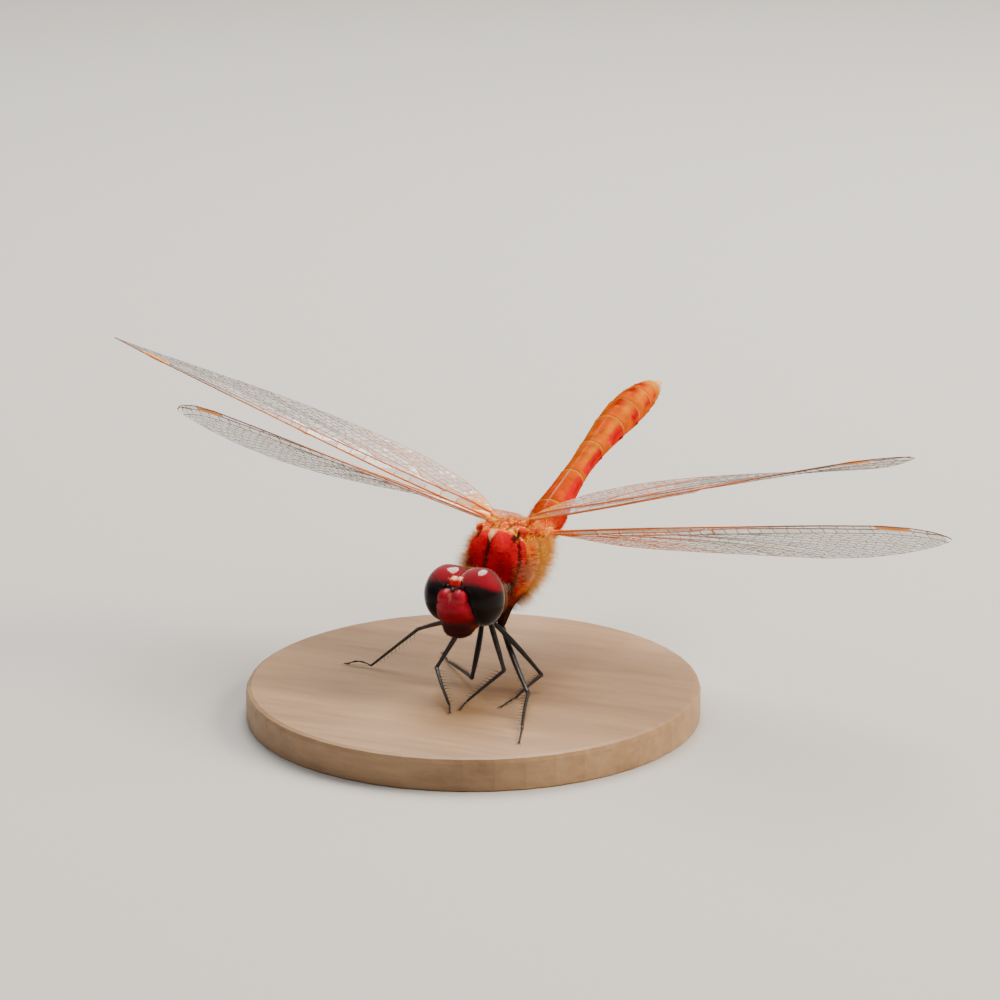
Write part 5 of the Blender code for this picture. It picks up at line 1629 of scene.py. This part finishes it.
p, n = sample_skin(face_mask, count, rng)
q = to_head(p)
stand = unit(n + [0, -0.1, -0.35] + rng.normal(0, 0.15, p.shape))
add_fuzz("fuzz_face", p, stand, 0.10 + 0.10 * rng.random(count) + 0.10 * (q[:, 2] > 1.2), 0.0050, unwrap_head, np.full(count, 0.10), "face_crimson", 33, tone=(0.30, 0.12, 0.06))
count = int(900 * few)
p, n = sample_skin(lambda c, m: (to_head(c)[:, 1] > 0.9) & (c[:, 1] < -4.7), count, rng)
stand = unit(n + rng.normal(0, 0.3, p.shape) + [0, 0.3, 0.2])
add_fuzz("fuzz_nape", p, stand, 0.16 + 0.16 * rng.random(count), 0.0065, unwrap_head, np.full(count, 0.65), "body_red", 34, tone=(0.36, 0.20, 0.11))

# ------------------------------------------------------------------- stand
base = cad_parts["stand_base"]
for i in range(len(base.data.materials)):
    base.data.materials[i] = WOOD


# ------------------------------------------------- floor, light and camera
def plain(name, colour, rough):
    mat, nt, bsdf, out = new_material(name)
    bsdf.inputs["Base Color"].default_value = (*colour, 1)
    bsdf.inputs["Roughness"].default_value = rough
    return mat


ring = 96
angle = 2 * math.pi * np.arange(ring) / ring
me = bpy.data.meshes.new("floor")
me.from_pydata([(1.6 * math.cos(t), 1.6 * math.sin(t), 0.0) for t in angle], [], [tuple(range(ring))])
floor = bpy.data.objects.new("floor", me)
bpy.context.scene.collection.objects.link(floor)
me.materials.append(plain("floor_paper", (0.50, 0.485, 0.46), 0.85))

world = bpy.data.worlds.new("studio")
bpy.context.scene.world = world
world.use_nodes = True
world.node_tree.nodes["Background"].inputs[0].default_value = (0.80, 0.80, 0.82, 1)
world.node_tree.nodes["Background"].inputs[1].default_value = 0.42


def lamp(name, azimuth, elevation, distance, size, power, colour=(1, 1, 1), tall=1.0, aim=(0, -0.004, 0.010)):
    a, e = math.radians(azimuth), math.radians(elevation)
    way = Vector((math.sin(a) * math.cos(e), -math.cos(a) * math.cos(e), math.sin(e)))
    data = bpy.data.lights.new(name, "AREA")
    data.shape = "ELLIPSE"
    data.size = size
    data.size_y = size * tall
    data.energy = power
    data.color = colour
    ob = bpy.data.objects.new(name, data)
    bpy.context.scene.collection.objects.link(ob)
    ob.location = Vector(aim) + way * distance
    ob.rotation_euler = (-way).to_track_quat("-Z", "Y").to_euler()
    return ob


lamp("key_behind", 196, 60, 0.50, 0.29, 3.9, (1.0, 0.97, 0.92), 1.3)
lamp("rim_right", 112, 34, 0.55, 0.34, 6.6, (1.0, 0.90, 0.74)).visible_glossy = False
lamp("front_fill", 350, 60, 0.70, 0.60, 1.15, (1.0, 0.98, 0.96)).visible_glossy = False

CAMERA = dict(azimuth=24.369742907573134, elevation=15.968457894720515, roll=-0.11065145055439182, focal=3203.524417502916, distance=211.40296102259504, centre=(508.08728634602096, 518.9814520545284))


def make_camera(c):
    a, e, r = (math.radians(c[k]) for k in ("azimuth", "elevation", "roll"))
    back = np.array([math.sin(a) * math.cos(e), -math.cos(a) * math.cos(e), math.sin(e)])
    right = np.array([math.cos(a), math.sin(a), 0.0])
    up = np.cross(back, right)
    r2 = right * math.cos(r) + up * math.sin(r)
    u2 = -right * math.sin(r) + up * math.cos(r)
    f = c["focal"]
    n = unit(np.array([(c["centre"][0] - 500) / f, -(c["centre"][1] - 500) / f, 1.0]))
    v = np.cross([0, 0, 1.0], n)
    k = np.array([[0, -v[2], v[1]], [v[2], 0, -v[0]], [-v[1], v[0], 0]])
    q = np.eye(3) + k + k @ k / (1 + n[2])
    axes = q @ np.array([r2, u2, -back])
    data = bpy.data.cameras.new("camera")
    data.sensor_width = 36.0
    data.lens = f * 36.0 / 1000.0
    data.clip_start = 0.005
    data.clip_end = 20.0
    ob = bpy.data.objects.new("camera", data)
    bpy.context.scene.collection.objects.link(ob)
    m = np.eye(4)
    m[:3, 0], m[:3, 1], m[:3, 2] = axes[0], axes[1], -axes[2]
    m[:3, 3] = place(back * c["distance"])
    ob.matrix_world = Matrix(m.tolist())
    bpy.context.scene.camera = ob


make_camera(CAMERA)
